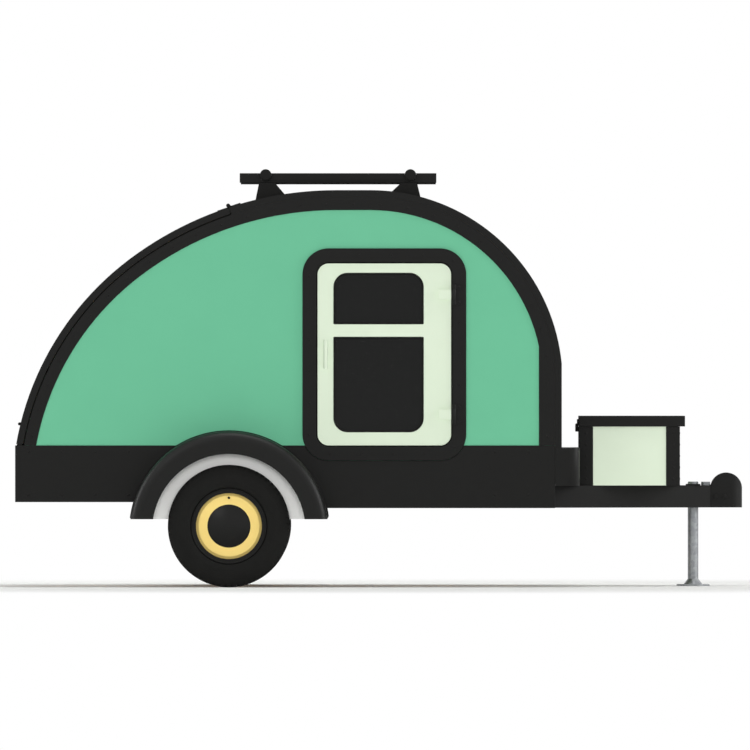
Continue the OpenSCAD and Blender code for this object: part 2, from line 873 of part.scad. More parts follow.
// Door frame: flange on the wall, lining through it and stop behind the door
module door_frame(left) {
    stop = 10;
    stop_t = 6;
    stop_y = door_in_y - run_gap;
    on_side(left) color(black) {
        across(-half_w, -half_w - frame_proud) difference() {
            door_outline(frame_w);
            door_outline(run_gap);
        }
        across(-half_w, -stop_y) difference() {
            door_outline(2 * run_gap);
            door_outline(run_gap);
        }
        across(-stop_y, -stop_y + stop_t) difference() {
            door_outline(2 * run_gap);
            door_outline(-stop);
        }
    }
}

// Upper window: rounded at its top; lower window: rounded at its foot
module panes(grow) {
    x0 = door_x0 + stile_rear - grow;
    x1 = door_x1 - stile_front + grow;
    top_z1 = door_z1 - rail_top + grow;
    top_z0 = door_z1 - rail_top - pane_top_h - grow;
    low_z1 = top_z0 + grow - rail_mid + grow;
    low_z0 = door_z0 + rail_low - grow;
    intersection() {
        rounded_rect(x0, top_z0 - 2 * pane_r, x1, top_z1, pane_r);
        translate([x0, top_z0]) square([x1 - x0, reach]);
    }
    intersection() {
        rounded_rect(x0, low_z0, x1, low_z1 + 2 * pane_r, pane_r);
        translate([x0, 0]) square([x1 - x0, low_z1]);
    }
}

// Depth of the panes from the door's inner face
glass_depth = 14;
glass_y = door_in_y + glass_depth;

module door(left) {
    on_side(left) color(cream) difference() {
        union() {
            across(-door_in_y, -door_y) door_outline(0);
            // Hinge leaves and their knuckles
            for (z = hinge_zs) {
                translate([hinge_x, -hinge_y, z - hinge_h / 4]) cylinder(r = hinge_r, h = hinge_h / 2);
                translate([hinge_x - leaf_l, -hinge_y - leaf_t / 2, z - hinge_h / 4])
                    cube([leaf_l, leaf_t, hinge_h / 2]);
                translate([hinge_x - leaf_l, -hinge_y, z - hinge_h / 4])
                    cube([leaf_l - run_gap - hinge_r - leaf_t, hinge_y - door_y, hinge_h / 2]);
            }
        }
        across(0, -reach) panes(0);
        across(0, -glass_y - glass_t - seat) panes(glass_lap);
        for (z = hinge_zs) translate([hinge_x, -hinge_y, z - hinge_h])
            cylinder(r = hinge_pin_r + pin_gap, h = 2 * hinge_h);
    }
}

module door_glass(left) {
    on_side(left) color("#1D1D1B") across(-glass_y, -glass_y - glass_t) panes(glass_lap - seat);
}

// Grab handle on the door's rear stile
module door_handle(left) {
    grip_x = door_x0 + stile_rear / 2;
    grip_z = (door_z0 + door_z1) / 2;
    grip_h = 130;
    grip_r = 9;
    stand_off = 26;
    on_side(left) color(cream) translate([grip_x, -door_y - seat, grip_z]) {
        translate([0, -stand_off, -grip_h / 2]) cylinder(r = grip_r, h = grip_h);
        for (z = [-1, 1] * (grip_h / 2 - 18)) translate([0, 0, z]) rotate([90, 0, 0]) {
            cylinder(r = grip_r + 4, h = 4);
            cylinder(r = grip_r - 1, h = stand_off);
        }
    }
}

// Fixed halves of the door hinges: an upper and a lower knuckle, a plate on the frame and the pin
module door_hinges() {
    third = hinge_h / 4 - knuckle_gap;
    plate = 34;
    color(black) both_sides() for (z = hinge_zs) translate([hinge_x, -hinge_y, z]) {
        for (low = [-hinge_h / 2, hinge_h / 4 + knuckle_gap]) translate([0, 0, low]) {
            cylinder(r = hinge_r, h = third);
            cube([plate, hinge_r, third]);
        }
        translate([0, 0, -hinge_h / 2]) cylinder(r = hinge_pin_r, h = hinge_h);
    }
}

// Four rack feet, cut to the roof's curve
module rack_feet() {
    top_z = rack_z0 - seat;
    color(black) for (end = [0, 1], y = [-rack_y, rack_y]) difference() {
        // Direction from the foot to the nearer end of the rails
        out = 2 * end - 1;
        x = foot_xs[end];
        base = [x + out * foot_base[0], x - out * foot_base[1]];
        across(y - foot_w / 2, y + foot_w / 2) polygon([
            [base[0], outline_z(base[0]) - past], [x + out * foot_top[0], top_z],
            [x - out * foot_top[1], top_z], [base[1], outline_z(base[1]) - past]
        ]);
        across(-reach, reach) outline(-seat, -seat, -seat, band_top_z);
    }
}

module rack_rails() {
    color(black) for (y = [-rack_y, rack_y]) difference() {
        translate([rack_x0, y - rack_rail_w / 2, rack_z0]) cube([rack_l, rack_rail_w, rack_rail_h]);
        across(-reach, reach) for (x = foot_xs) translate([x, rack_bar_z]) circle(rack_bar_r + seat);
    }
}

module rack_bars() {
    over = 24;
    color(black) across(-rack_y - rack_rail_w / 2 - over, rack_y + rack_rail_w / 2 + over)
        for (x = foot_xs) translate([x, rack_bar_z]) difference() {
            circle(rack_bar_r);
            circle(rack_bar_r - tube_t);
        }
}

// Knuckles of the box's hinge, in turn on the box and on the lid
lid_half = box_w / 2 - corner_w - past;
lid_step = 2 * lid_half / 5;
module lid_knuckles(first, count) {
    for (k = [0 : count - 1]) {
        y0 = -lid_half + (first + 2 * k) * lid_step + knuckle_gap;
        across(y0, y0 + lid_step - 2 * knuckle_gap) children();
    }
}

// Sheet box, open at the top
module tongue_box() {
    half = box_w / 2 - box_t;
    color(cream) difference() {
        translate([box_x0 + box_t, -half, box_z0]) cube([box_l - 2 * box_t, 2 * half, box_h]);
        translate([box_x0 + 2 * box_t, -half + box_t, box_z0 + box_t])
            cube([box_l - 4 * box_t, 2 * (half - box_t), box_h]);
    }
}

// Fixed half of the box's hinge: three knuckles with their leaves on the box, and the pin
module box_hinge() {
    leaf = 30;
    color(black) {
        lid_knuckles(0, 3) union() {
            translate(lid_axis) circle(lid_r);
            translate([lid_axis[0] - lid_r, lid_axis[1] - leaf]) square([lid_r - seat, leaf]);
            translate([lid_axis[0] - lid_r, lid_axis[1] - leaf])
                square([box_x0 + box_t - seat - lid_axis[0] + lid_r, leaf - lid_r - seat]);
        }
        across(-lid_half, lid_half) translate(lid_axis) circle(lid_pin_r);
    }
}

// Moving half of the box's hinge: two knuckles with their leaves on the lid
module lid_hinge() {
    leaf = 26;
    color(black) lid_knuckles(1, 2) difference() {
        union() {
            translate(lid_axis) circle(lid_r);
            translate(lid_axis) square([box_x0 - seat - lid_axis[0], leaf]);
        }
        translate(lid_axis) circle(lid_pin_r + pin_gap);
    }
}

// Black angles on the four upright corners of the box
module box_corners() {
    half = box_w / 2;
    // Each row: which end along the trailer, which side
    color(black) difference() {
        for (end = [0, 1], side = [0, 1]) translate([
            end == 0 ? box_x0 : box_x1 - corner_w, side == 0 ? -half : half - corner_w, box_z0
        ]) cube([corner_w, corner_w, box_h]);
        translate([box_x0 + box_t - seat / 2, -half + box_t - seat / 2, 0])
            cube([box_l - 2 * box_t + seat, 2 * (half - box_t) + seat, reach]);
    }
}

// Shallow tray that closes the box
module box_lid() {
    side_over = 6;
    half = box_w / 2 + side_over;
    low = box_z1 + seat;
    color(black) difference() {
        translate([box_x0, -half, low]) cube([box_l + lid_over, 2 * half, lid_h]);
        translate([box_x0 + box_t, -half + box_t, low - past])
            cube([box_l + lid_over - 2 * box_t, 2 * (half - box_t), lid_h + past - box_t]);
    }
}

rim_t = 4;
flange_h = 15;
well_d = 17;
tyre_crown_r = 420;
sidewall_r = 100;
tyre_wall = 11;
tyre_mid_r = 213;
// The sidewalls start just outside the rim's flanges
tyre_foot_r = rim_r + flange_h + rim_t + 1.5;
bead_w = 14;
bead_h = 34;

// Half-round tyre carcass, drawn in by inset
module tyre_section(inset) {
    side = tyre_w / 2 - sidewall_r;
    intersection() {
        translate([tyre_foot_r, wheel_y - tyre_w]) square([tyre_r - tyre_foot_r - inset, 2 * tyre_w]);
        translate([tyre_mid_r, wheel_y + side]) circle(sidewall_r - inset);
        translate([tyre_mid_r, wheel_y - side]) circle(sidewall_r - inset);
        translate([tyre_r - tyre_crown_r, wheel_y]) circle(tyre_crown_r - inset);
    }
}

module tyre(left) {
    bead_half = rim_half_w - seat;
    groove_w = 8;
    groove_d = 7;
    groove_ys = [-42, -15, 15, 42];
    on_side(left) color(rubber) turned() difference() {
        union() {
            tyre_section(0);
            translate([rim_r + seat, wheel_y - bead_half]) square([bead_h, 2 * bead_half]);
        }
        intersection() {
            tyre_section(tyre_wall);
            translate([rim_r + bead_h, 0]) square(reach);
        }
        translate([rim_r - past, wheel_y - bead_half + bead_w])
            square([past + bead_h + 1, 2 * (bead_half - bead_w)]);
        for (y = groove_ys) translate([tyre_r - groove_d, wheel_y + y - groove_w / 2])
            square([past + groove_d, groove_w]);
    }
}

// Rolled rim: flanges, bead seats and a drop well on its inboard side, as [radius, across]
module rim(left) {
    in_y = wheel_y - rim_half_w;
    out_y = wheel_y + rim_half_w;
    well_y = in_y + 24;
    well_w = 34;
    on_side(left) color(black) turned() difference() {
        union() {
            translate([rim_r - rim_t, in_y - rim_t]) square([rim_t, 2 * rim_half_w + 2 * rim_t]);
            for (y = [in_y - rim_t, out_y]) translate([rim_r - rim_t, y]) square([flange_h + rim_t, rim_t]);
            for (y = [in_y - rim_t, out_y + rim_t]) translate([rim_r + flange_h, y]) circle(rim_t);
            translate([rim_r - well_d, well_y]) square([well_d, well_w]);
        }
        translate([rim_r - well_d + rim_t, well_y + rim_t]) square([well_d + past, well_w - 2 * rim_t]);
    }
}

disc_bore = 34;
disc_seat_r = 84;
// Bolting face and bowl of the wheel disc, outboard of the wheel's middle
disc_face_y = wheel_y + 16;
disc_bowl_y = wheel_y + 40;

// Pressed wheel disc: bolting face, dished bowl and a lip inside the rim, as [radius, across]
module disc(left) {
    disc_t = 5;
    lip_r = rim_r - rim_t - seat;
    face_y = disc_face_y;
    bowl_y = disc_bowl_y;
    on_side(left) color(yellow) turned() polygon([
        [disc_bore, face_y], [disc_seat_r, face_y], [disc_seat_r + 12, bowl_y - 6],
        [lip_r - 14, bowl_y - 6], [lip_r - disc_t, bowl_y - 14], [lip_r - disc_t, bowl_y - 30],
        [lip_r, bowl_y - 30], [lip_r, bowl_y - 12], [lip_r - 12, bowl_y],
        [disc_seat_r + 9, bowl_y], [disc_seat_r - 3, face_y + disc_t], [disc_bore, face_y + disc_t]
    ]);
}

// Domed hub cap, pressed onto the bowl
module cap(left) {
    rise = 26;
    cap_t = 3;
    dome_r = (pow(cap_r, 2) + pow(rise, 2)) / (2 * rise);
    base_y = disc_bowl_y + seat;
    on_side(left) color(black) turned() intersection() {
        difference() {
            translate([0, base_y + rise - dome_r]) circle(dome_r);
            translate([0, base_y + rise - dome_r]) circle(dome_r - cap_t);
        }
        translate([0, base_y]) square([reach, rise + 1]);
    }
}

// Hub with its bolting flange and brake drum, on the spindle
module hub(left) {
    drum_r = 100;
    drum_w = 55;
    drum_y = skin_y + 25;
    barrel_r = 36;
    nose_y = wheel_y + 30;
    flange_r = 72;
    flange_t = 12;
    face_y = disc_face_y - seat;
    on_side(left) color(steel) turned() difference() {
        union() {
            square([barrel_r, nose_y]);
            translate([0, face_y - flange_t]) square([flange_r, flange_t]);
            translate([0, drum_y]) square([drum_r, drum_w]);
        }
        square([reach, drum_y]);
        translate([0, drum_y - past]) square([spindle_r + bearing_gap, nose_y + past - drum_y]);
        translate([disc_bore - seat, face_y]) square([reach, reach]);
    }
}

main_rails();
cross_members();
drawbar_rails();
coupler();
coupler_latch();
stand_sleeve();
axle_beam();
axle_arms();
fender(false);  // fender_right
fender(true);  // fender_left
splash_panels();
skirt(false);  // skirt_right
skirt(true);  // skirt_left
rear_valance();
tail_lamps();
front_sill();
floor_deck();
side_wall(false);  // side_wall_right
side_wall(true);  // side_wall_left
edge_trim(false);  // edge_trim_right
edge_trim(true);  // edge_trim_left
roof_shell();
front_shell();
bulkheads();
galley_counter();
galley_front();
galley_shelf();
mattress();
door_frame(false);  // door_frame_right
door_frame(true);  // door_frame_left
door_hinges();
hatch_hinge();
rack_feet();
rack_rails();
rack_bars();
tongue_box();
box_hinge();
box_corners();
hatch();
hatch_knuckles();
hatch_bar();
door(false);  // door_right
door_glass(false);  // door_glass_right
door_handle(false);  // door_handle_right
door(true);  // door_left
door_glass(true);  // door_glass_left
door_handle(true);  // door_handle_left
box_lid();
lid_hinge();
prop_stand();
tyre(false);  // tyre_right
rim(false);  // rim_right
disc(false);  // disc_right
cap(false);  // cap_right
hub(false);  // hub_right
tyre(true);  // tyre_left
rim(true);  // rim_left
disc(true);  // disc_left
cap(true);  // cap_left
hub(true);  // hub_left
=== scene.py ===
"""Teardrop camper trailer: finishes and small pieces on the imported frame. Lengths are in metres."""
import json

import bpy
import numpy as np
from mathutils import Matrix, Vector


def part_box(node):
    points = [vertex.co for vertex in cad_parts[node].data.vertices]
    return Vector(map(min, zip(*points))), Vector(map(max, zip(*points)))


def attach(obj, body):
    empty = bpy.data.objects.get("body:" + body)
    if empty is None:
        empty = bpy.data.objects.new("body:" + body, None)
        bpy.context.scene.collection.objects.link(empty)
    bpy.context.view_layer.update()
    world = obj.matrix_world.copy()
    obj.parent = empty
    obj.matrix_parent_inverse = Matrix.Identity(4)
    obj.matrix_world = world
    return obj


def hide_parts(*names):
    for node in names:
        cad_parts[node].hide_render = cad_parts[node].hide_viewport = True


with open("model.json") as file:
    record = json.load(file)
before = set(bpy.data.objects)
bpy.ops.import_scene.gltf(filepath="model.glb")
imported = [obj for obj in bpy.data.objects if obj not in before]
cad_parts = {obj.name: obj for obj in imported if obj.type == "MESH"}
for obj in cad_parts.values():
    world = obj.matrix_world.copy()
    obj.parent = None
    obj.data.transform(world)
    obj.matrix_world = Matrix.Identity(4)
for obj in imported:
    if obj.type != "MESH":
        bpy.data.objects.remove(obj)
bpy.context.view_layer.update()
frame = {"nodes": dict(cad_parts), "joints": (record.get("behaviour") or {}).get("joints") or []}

# Camera: square to the kerb side and far off, so that the side view is nearly parallel.
# One pixel of the 750-pixel picture is 4.5 mm on the kerb-side wall; the nose and the ground fix its place.
MM = 0.001
PICTURE_PIXELS = 750
PIXEL = 4.5 * MM
NOSE_COLUMN = 744
GROUND_ROW = 587
SENSOR = 36
CAMERA_DISTANCE = 130
wall_face_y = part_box("side_wall_right")[0].y
nose_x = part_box("coupler")[1].x
camera = bpy.data.objects.new("side_camera", bpy.data.cameras.new("side_camera"))
camera.data.sensor_width = SENSOR
camera.data.lens = SENSOR * CAMERA_DISTANCE / (PICTURE_PIXELS * PIXEL)
camera.data.clip_end = 2 * CAMERA_DISTANCE
camera.location = (
    nose_x - (NOSE_COLUMN - PICTURE_PIXELS / 2) * PIXEL,
    wall_face_y - CAMERA_DISTANCE,
    (GROUND_ROW - PICTURE_PIXELS / 2) * PIXEL,
)
camera.rotation_euler = (np.pi / 2, 0, 0)
bpy.context.scene.collection.objects.link(camera)
bpy.context.scene.camera = camera
bpy.context.scene.view_settings.view_transform = "Standard"

# Studio: white surroundings, a pale floor that fades into them, and soft boxes on all sides.
# The levels are set so that a colour renders about as it is written.
WORLD_LEVEL = 0.14
FLOOR_RADIUS, FLOOR_RINGS, FLOOR_SPOKES = 22, 24, 96
FLOOR_FADE = (2.2, 5.0)


def linear(hex_colour):
    """An sRGB hex colour as linear RGBA: c / 12.92 near black, ((c + 0.055) / 1.055) ** 2.4 above."""
    srgb = np.array([int(hex_colour[i:i + 2], 16) for i in (1, 3, 5)]) / 255
    rgb = np.where(srgb <= 0.04045, srgb / 12.92, ((srgb + 0.055) / 1.055) ** 2.4)
    return (*rgb.tolist(), 1.0)


def set_up(tree, node, settings=None, links=None):
    """Sets up a node: settings are its properties or input values, links give the source of each input."""
    for key, value in (settings or {}).items():
        if isinstance(key, str) and hasattr(node, key):
            setattr(node, key, value)
        else:
            node.inputs[key].default_value = value
    for key, source in (links or {}).items():
        tree.links.new(source, node.inputs[key])
    return node


def add_node(tree, kind, settings=None, links=None):
    """Adds one node with its settings and links."""
    return set_up(tree, tree.nodes.new(kind), settings, links)


def seen_rays(tree):
    """1 for rays from the camera and for mirror and glass rays, which all show the white background."""
    path = add_node(tree, "ShaderNodeLightPath")
    mirror = add_node(tree, "ShaderNodeMath", {"operation": "MAXIMUM"},
                      {0: path.outputs["Is Camera Ray"], 1: path.outputs["Is Glossy Ray"]})
    either = add_node(tree, "ShaderNodeMath", {"operation": "MAXIMUM"},
                      {0: mirror.outputs[0], 1: path.outputs["Is Transmission Ray"]})
    return either.outputs[0]


world = bpy.data.worlds.new("white_surroundings")
world.use_nodes = True
bpy.context.scene.world = world
world_tree = world.node_tree
world_level = add_node(world_tree, "ShaderNodeMapRange", {"To Min": WORLD_LEVEL, "To Max": 1.0},
                       {"Value": seen_rays(world_tree)})
set_up(world_tree, world_tree.nodes["Background"], {"Color": linear("#FFFFFF")},
       {"Strength": world_level.outputs[0]})


def disc_grid(radius, rings, spokes):
    """A flat disc: ring i of the grid has radius (i / rings) ** 2 times the disc's, for a fine middle."""
    reach = radius * (np.arange(1, rings + 1)[:, None] / rings) ** 2
    turn = np.linspace(0, 2 * np.pi, spokes, endpoint=False)[None, :]
    return np.stack([reach * np.cos(turn), reach * np.sin(turn), 0 * reach * turn], axis=-1)


def grid_faces(rows, columns, wrap_rows=False, wrap_columns=False):
    """Quads between neighbours of a grid of points: (i, j), (i + 1, j), (i + 1, j + 1), (i, j + 1)."""
    i = np.arange(rows if wrap_rows else rows - 1)[:, None]
    j = np.arange(columns if wrap_columns else columns - 1)[None, :]
    below = (i + 1) % rows
    beside = (j + 1) % columns
    corners = [i * columns + j, below * columns + j, below * columns + beside, i * columns + beside]
    return np.stack(np.broadcast_arrays(*corners), axis=-1).reshape(-1, 4)


def put_mesh(name, points, faces, smooth=True, closed=True):
    """A mesh object from an array of points and a list of face index arrays. The signed volume of a closed
    surface, a sixth of the sum of p0 . (p1 x p2) over its triangles, tells if its faces are turned round."""
    points = np.asarray(points, float).reshape(-1, 3)
    volume = 0.0
    for block in faces:
        for k in range(1, block.shape[1] - 1):
            first, second, third = points[block[:, 0]], points[block[:, k]], points[block[:, k + 1]]
            volume += np.sum(first * np.cross(second, third))
    if closed and volume < 0:
        faces = [block[:, ::-1] for block in faces]
    mesh = bpy.data.meshes.new(name)
    mesh.from_pydata(points.tolist(), [], [face for block in faces for face in block.tolist()])
    mesh.polygons.foreach_set("use_smooth", np.full(len(mesh.polygons), smooth))
    piece = bpy.data.objects.new(name, mesh)
    bpy.context.scene.collection.objects.link(piece)
    return piece


floor_quads = grid_faces(FLOOR_RINGS, FLOOR_SPOKES, wrap_columns=True)
floor = put_mesh("floor", disc_grid(FLOOR_RADIUS, FLOOR_RINGS, FLOOR_SPOKES),
                 [floor_quads, np.arange(FLOOR_SPOKES)[None, :]], closed=False)
floor_paint = bpy.data.materials.new("pale_floor_paint")
floor_paint.use_nodes = True
floor_tree = floor_paint.node_tree
floor_tree.nodes.clear()
floor_place = add_node(floor_tree, "ShaderNodeTexCoord").outputs["Object"]
floor_reach = add_node(floor_tree, "ShaderNodeVectorMath", {"operation": "LENGTH"}, {0: floor_place})
floor_fade = add_node(
    floor_tree, "ShaderNodeMapRange",
    {"interpolation_type": "SMOOTHSTEP", "From Min": FLOOR_FADE[0], "From Max": FLOOR_FADE[1]},
    {"Value": floor_reach.outputs["Value"]},
)
floor_white = add_node(floor_tree, "ShaderNodeMath", {"operation": "MULTIPLY"},
                       {0: floor_fade.outputs[0], 1: seen_rays(floor_tree)})
floor_diffuse = add_node(floor_tree, "ShaderNodeBsdfDiffuse", {"Color": linear("#FAFAF8")})
floor_glow = add_node(floor_tree, "ShaderNodeEmission", {"Color": linear("#FFFFFF"), "Strength": 1.0})
floor_mix = add_node(floor_tree, "ShaderNodeMixShader", None,
                     {0: floor_white.outputs[0], 1: floor_diffuse.outputs[0], 2: floor_glow.outputs[0]})
add_node(floor_tree, "ShaderNodeOutputMaterial", None, {"Surface": floor_mix.outputs[0]})
floor.data.materials.append(floor_paint)

# Columns: name, place, side of the square, watts; each box faces the middle of the body
soft_boxes = [
    ("front_box", (-0.4, -24.0, 0.9), 5.0, 3750),
    ("kerb_box", (-5.0, -7.0, 6.0), 4.0, 80),
    ("nose_box", (8.0, -2.0, 3.5), 4.0, 260),
    ("tail_box", (-8.5, 1.5, 3.5), 4.0, 300),
    ("street_box", (-1.0, 12.0, 3.5), 5.0, 760),
    ("roof_box", (0.5, 0.0, 8.0), 5.0, 260),
]
body_middle = np.array([-0.3, 0.0, 0.9])
for box_name, place, box_side, watts in soft_boxes:
    lamp = bpy.data.lights.new(box_name, "AREA")
    lamp.shape = "SQUARE"
    lamp.size = box_side
    lamp.energy = watts
    lamp_object = bpy.data.objects.new(box_name, lamp)
    lamp_object.location = place
    away = np.array(place) - body_middle
    lamp_object.rotation_euler = (np.arctan2(np.hypot(away[0], away[1]), away[2]), 0,
                                  np.arctan2(away[0], -away[1]))
    # A mirror image of these two would lie flat over every panel that is square to the camera
    lamp_object.visible_glossy = box_name not in ("front_box", "street_box")
    bpy.context.scene.collection.objects.link(lamp_object)

# Chassis: welded box-section steel, powder coated black, with bolted axle and coupler.
# The cured powder has a fine orange peel and a satin gloss; road dust lies on what faces up.

# A Mix node for colours has its sockets at these numbers, among those for other kinds of value
MIX_SHARE, MIX_FROM, MIX_TO, MIX_COLOUR = 0, 6, 7, 2


def start_material(name):
    """A material with a Principled shader: returns it, its tree, the shader and its Object coordinates."""
    material = bpy.data.materials.new(name)
    material.use_nodes = True
    tree = material.node_tree
    place = add_node(tree, "ShaderNodeTexCoord").outputs["Object"]
    return material, tree, tree.nodes["Principled BSDF"], place


def clouded(tree, place, cloud_mm, detail, colour, shade):
    """A colour that drifts to shade over clouds of about the given size: returns the drift and the tint."""
    drift = add_node(tree, "ShaderNodeTexNoise", {"Scale": 1 / (cloud_mm * MM), "Detail": detail},
                     {"Vector": place}).outputs["Fac"]
    tint = add_node(tree, "ShaderNodeMix",
                    {"data_type": "RGBA", MIX_FROM: linear(colour), MIX_TO: linear(shade)},
                    {MIX_SHARE: drift})
    return drift, tint.outputs[MIX_COLOUR]


def bumpy(tree, place, bump_mm, detail, depth_mm, over=None):
    """A normal with bumps of about the given size and depth, laid over another normal if there is one."""
    height = add_node(tree, "ShaderNodeTexNoise", {"Scale": 1 / (bump_mm * MM), "Detail": detail},
                      {"Vector": place}).outputs["Fac"]
    links = {"Height": height} if over is None else {"Height": height, "Normal": over}
    return add_node(tree, "ShaderNodeBump", {"Distance": depth_mm * MM}, links).outputs["Normal"]


def coated(name, colour, shade, roughness, specular, peel_mm=6, peel_depth_mm=0.03, wave_depth_mm=0.3,
           dust=None):
    """Sprayed or powder-coated sheet: colour drifts to shade over hand-sized clouds, gloss drifts with it,
    a peel of fine bumps covers it, and a long shallow wave shows that the sheet isn't quite flat.
    dust is the colour of a thin film on what faces up. The peel is drawn coarser than the real one."""
    cloud_mm, wave_mm = 160, 420
    shinier, duller = 0.05, 0.06
    dusty_slope, dust_share = 0.6, 0.10
    material, tree, shader, place = start_material(name)
    drift, tint = clouded(tree, place, cloud_mm, 5.0, colour, shade)
    if dust:
        normal = add_node(tree, "ShaderNodeNewGeometry").outputs["Normal"]
        upward = add_node(tree, "ShaderNodeSeparateXYZ", None, {0: normal}).outputs["Z"]
        cover = add_node(tree, "ShaderNodeMapRange",
                         {"From Min": dusty_slope, "From Max": 1.0, "To Max": dust_share}, {"Value": upward})
        tint = add_node(tree, "ShaderNodeMix", {"data_type": "RGBA", MIX_TO: linear(dust)},
                        {MIX_SHARE: cover.outputs[0], MIX_FROM: tint}).outputs[MIX_COLOUR]
    gloss = add_node(tree, "ShaderNodeMapRange",
                     {"To Min": roughness - shinier, "To Max": roughness + duller}, {"Value": drift})
    peel = bumpy(tree, place, peel_mm, 2.0, peel_depth_mm)
    wave = bumpy(tree, place, wave_mm, 0.0, wave_depth_mm, over=peel)
    set_up(tree, shader, {"Specular IOR Level": specular},
           {"Base Color": tint, "Roughness": gloss.outputs[0], "Normal": wave})
    return material


def dress(material, *nodes):
    """Gives solids of the frame this material alone."""
    for node in nodes:
        frame["nodes"][node].data.materials.clear()
        frame["nodes"][node].data.materials.append(material)


def soften(width, *nodes):
    """Rounds the sharp edges of solids of the frame: joins their triangles, then bevels by angle."""
    join, sharp_deg = 0.01 * MM, 40
    for node in nodes:
        solid = frame["nodes"][node]
        weld = solid.modifiers.new("join", "WELD")
        weld.merge_threshold = join
        edges = solid.modifiers.new("edges", "BEVEL")
        edges.width = width
        edges.segments = 2
        edges.limit_method = "ANGLE"
        edges.angle_limit = np.radians(sharp_deg)
        edges.harden_normals = True


def fit(piece, material, body="trailer"):
    """Finishes a new piece: its material and the body that it rides on."""
    piece.data.materials.append(material)
    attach(piece, body)
    return piece


powder_black = coated("black_powder_coat", "#0F0F0E", "#141413", roughness=0.5, specular=0.2, peel_mm=5,
                      peel_depth_mm=0.05, wave_depth_mm=0.2, dust="#6B665C")
dress(powder_black, "main_rails", "cross_members", "drawbar_rails", "coupler", "stand_sleeve",
      "axle_beam", "axle_arms")

# Hex bolts of the chassis: M12 heads with washers, through the coupler's cheeks and the axle brackets.
# They are zinc plated and then coated with the chassis.
HEX_HEIGHTS = np.array([0.0, 2.2, 2.2, 2.2, 8.5, 9.6]) * MM
HEX_RADII = np.array([12.0, 12.0, 11.2, 10.4, 10.4, 8.6]) * MM
HEX_FLATS = [False, False, False, True, True, False]
COUPLER_BOLT_ROWS, COUPLER_BOLT_RISE = (24 * MM, 66 * MM), 50 * MM
BRACKET_BOLT_ROWS, BRACKET_BOLT_DROP = (-42 * MM, 42 * MM), 22 * MM


def repeated(faces, count, stride):
    """The same faces for each of count copies whose points follow one another, stride points apart."""
    return (faces[None] + stride * np.arange(count)[:, None, None]).reshape(-1, faces.shape[1])


def unit(vectors):
    """Vectors scaled to length 1."""
    return vectors / np.linalg.norm(vectors, axis=-1, keepdims=True)


def spokes_round(directions, sides):
    """Unit vectors in even steps round each direction, square to it: cos(turn) * a + sin(turn) * b, where
    a and b come from cross products with a fixed axis."""
    helper = np.where(np.abs(directions[..., 2:]) > 0.9, [1.0, 0.0, 0.0], [0.0, 0.0, 1.0])
    first = unit(np.cross(directions, helper))
    second = np.cross(directions, first)
    turn = np.linspace(0, 2 * np.pi, sides, endpoint=False)[:, None]
    return first[..., None, :] * np.cos(turn) + second[..., None, :] * np.sin(turn)


def tube_faces(rings, sides):
    """Faces of a closed tube of rings of points: the quads along it and a cap at both ends."""
    caps = np.stack([np.arange(sides), np.arange(sides)[::-1] + (rings - 1) * sides])
    return [grid_faces(rings, sides, wrap_columns=True), caps]


def sideways(places):
    """The direction straight out from the body at each place, towards the side on which it lies."""
    return np.sign(places) * [0, 1, 0]


def put_heads(name, places, heights, radii, material=powder_black, body="trailer",
              normals=None, hexed=None):
    """Bolt, rivet or screw heads as one fitted piece: around each normal, rings of the given heights and
    radii. A hexed ring follows a hexagon, radius / cos(angle to the nearest flat), and the others are
    circles. Heads without normals face straight out from the side of the body."""
    places = np.asarray(places, float)
    normals = unit(sideways(places) if normals is None else np.asarray(normals, float))
    rings, columns = len(heights), 24
    turn = np.linspace(0, 2 * np.pi, columns, endpoint=False)
    flat = np.cos(np.pi / 6) / np.cos(turn % (np.pi / 3) - np.pi / 6)
    on_flats = np.zeros(rings, bool) if hexed is None else np.asarray(hexed, bool)
    reach = radii[:, None] * np.where(on_flats[:, None], flat[None, :], 1.0)
    points = (places[:, None, None, :] + heights[None, :, None, None] * normals[:, None, None, :]
              + reach[None, :, :, None] * spokes_round(normals, columns)[:, None, :, :])
    faces = [repeated(block, len(places), rings * columns) for block in tube_faces(rings, columns)]
    return fit(put_mesh(name, points, faces, smooth=False), material, body)


coupler_low, coupler_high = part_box("coupler")
beam_low, beam_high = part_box("axle_beam")
beam_x = (beam_low.x + beam_high.x) / 2
bracket_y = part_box("main_rails")[1].y
bolt_places = [(coupler_low.x + dx, side * coupler_high.y, coupler_low.z + COUPLER_BOLT_RISE)
               for dx in COUPLER_BOLT_ROWS for side in (-1, 1)]
bolt_places += [(beam_x + dx, side * bracket_y, beam_high.z - BRACKET_BOLT_DROP)
                for dx in BRACKET_BOLT_ROWS for side in (-1, 1)]
put_heads("chassis_bolts", bolt_places, HEX_HEIGHTS, HEX_RADII, hexed=HEX_FLATS)

# Welds of the chassis: fillets where the cross members meet the main rails and behind the coupler.
# They were run by hand, so they ripple under the coat.
WELD_R, COUPLER_WELD_HALF = 3.5 * MM, 40 * MM


def weld_beads(name, starts, ends, radius):
    """Weld beads as one mesh: along each line, rings whose radius swings by a seventh every 4 mm or so,
    drawn in to a small end at both ends."""
    starts, ends = np.asarray(starts, float), np.asarray(ends, float)
    steps, sides, ripples = 61, 8, 10
    swing, end_taper, end_share = 1 / 7, 8, 0.15
    share = np.linspace(0, 1, steps)
    swell = radius * (1 + swing * np.cos(2 * np.pi * ripples * share))
    swell = swell * np.clip(end_taper * np.minimum(share, 1 - share) + end_share, 0, 1)
    line = starts[:, None, :] + (ends - starts)[:, None, :] * share[None, :, None]
    spokes = spokes_round(unit(ends - starts), sides)
    points = line[:, :, None, :] + swell[None, :, None, None] * spokes[:, None, :, :]
    faces = [repeated(block, len(starts), steps * sides) for block in tube_faces(steps, sides)]
    return put_mesh(name, points, faces)


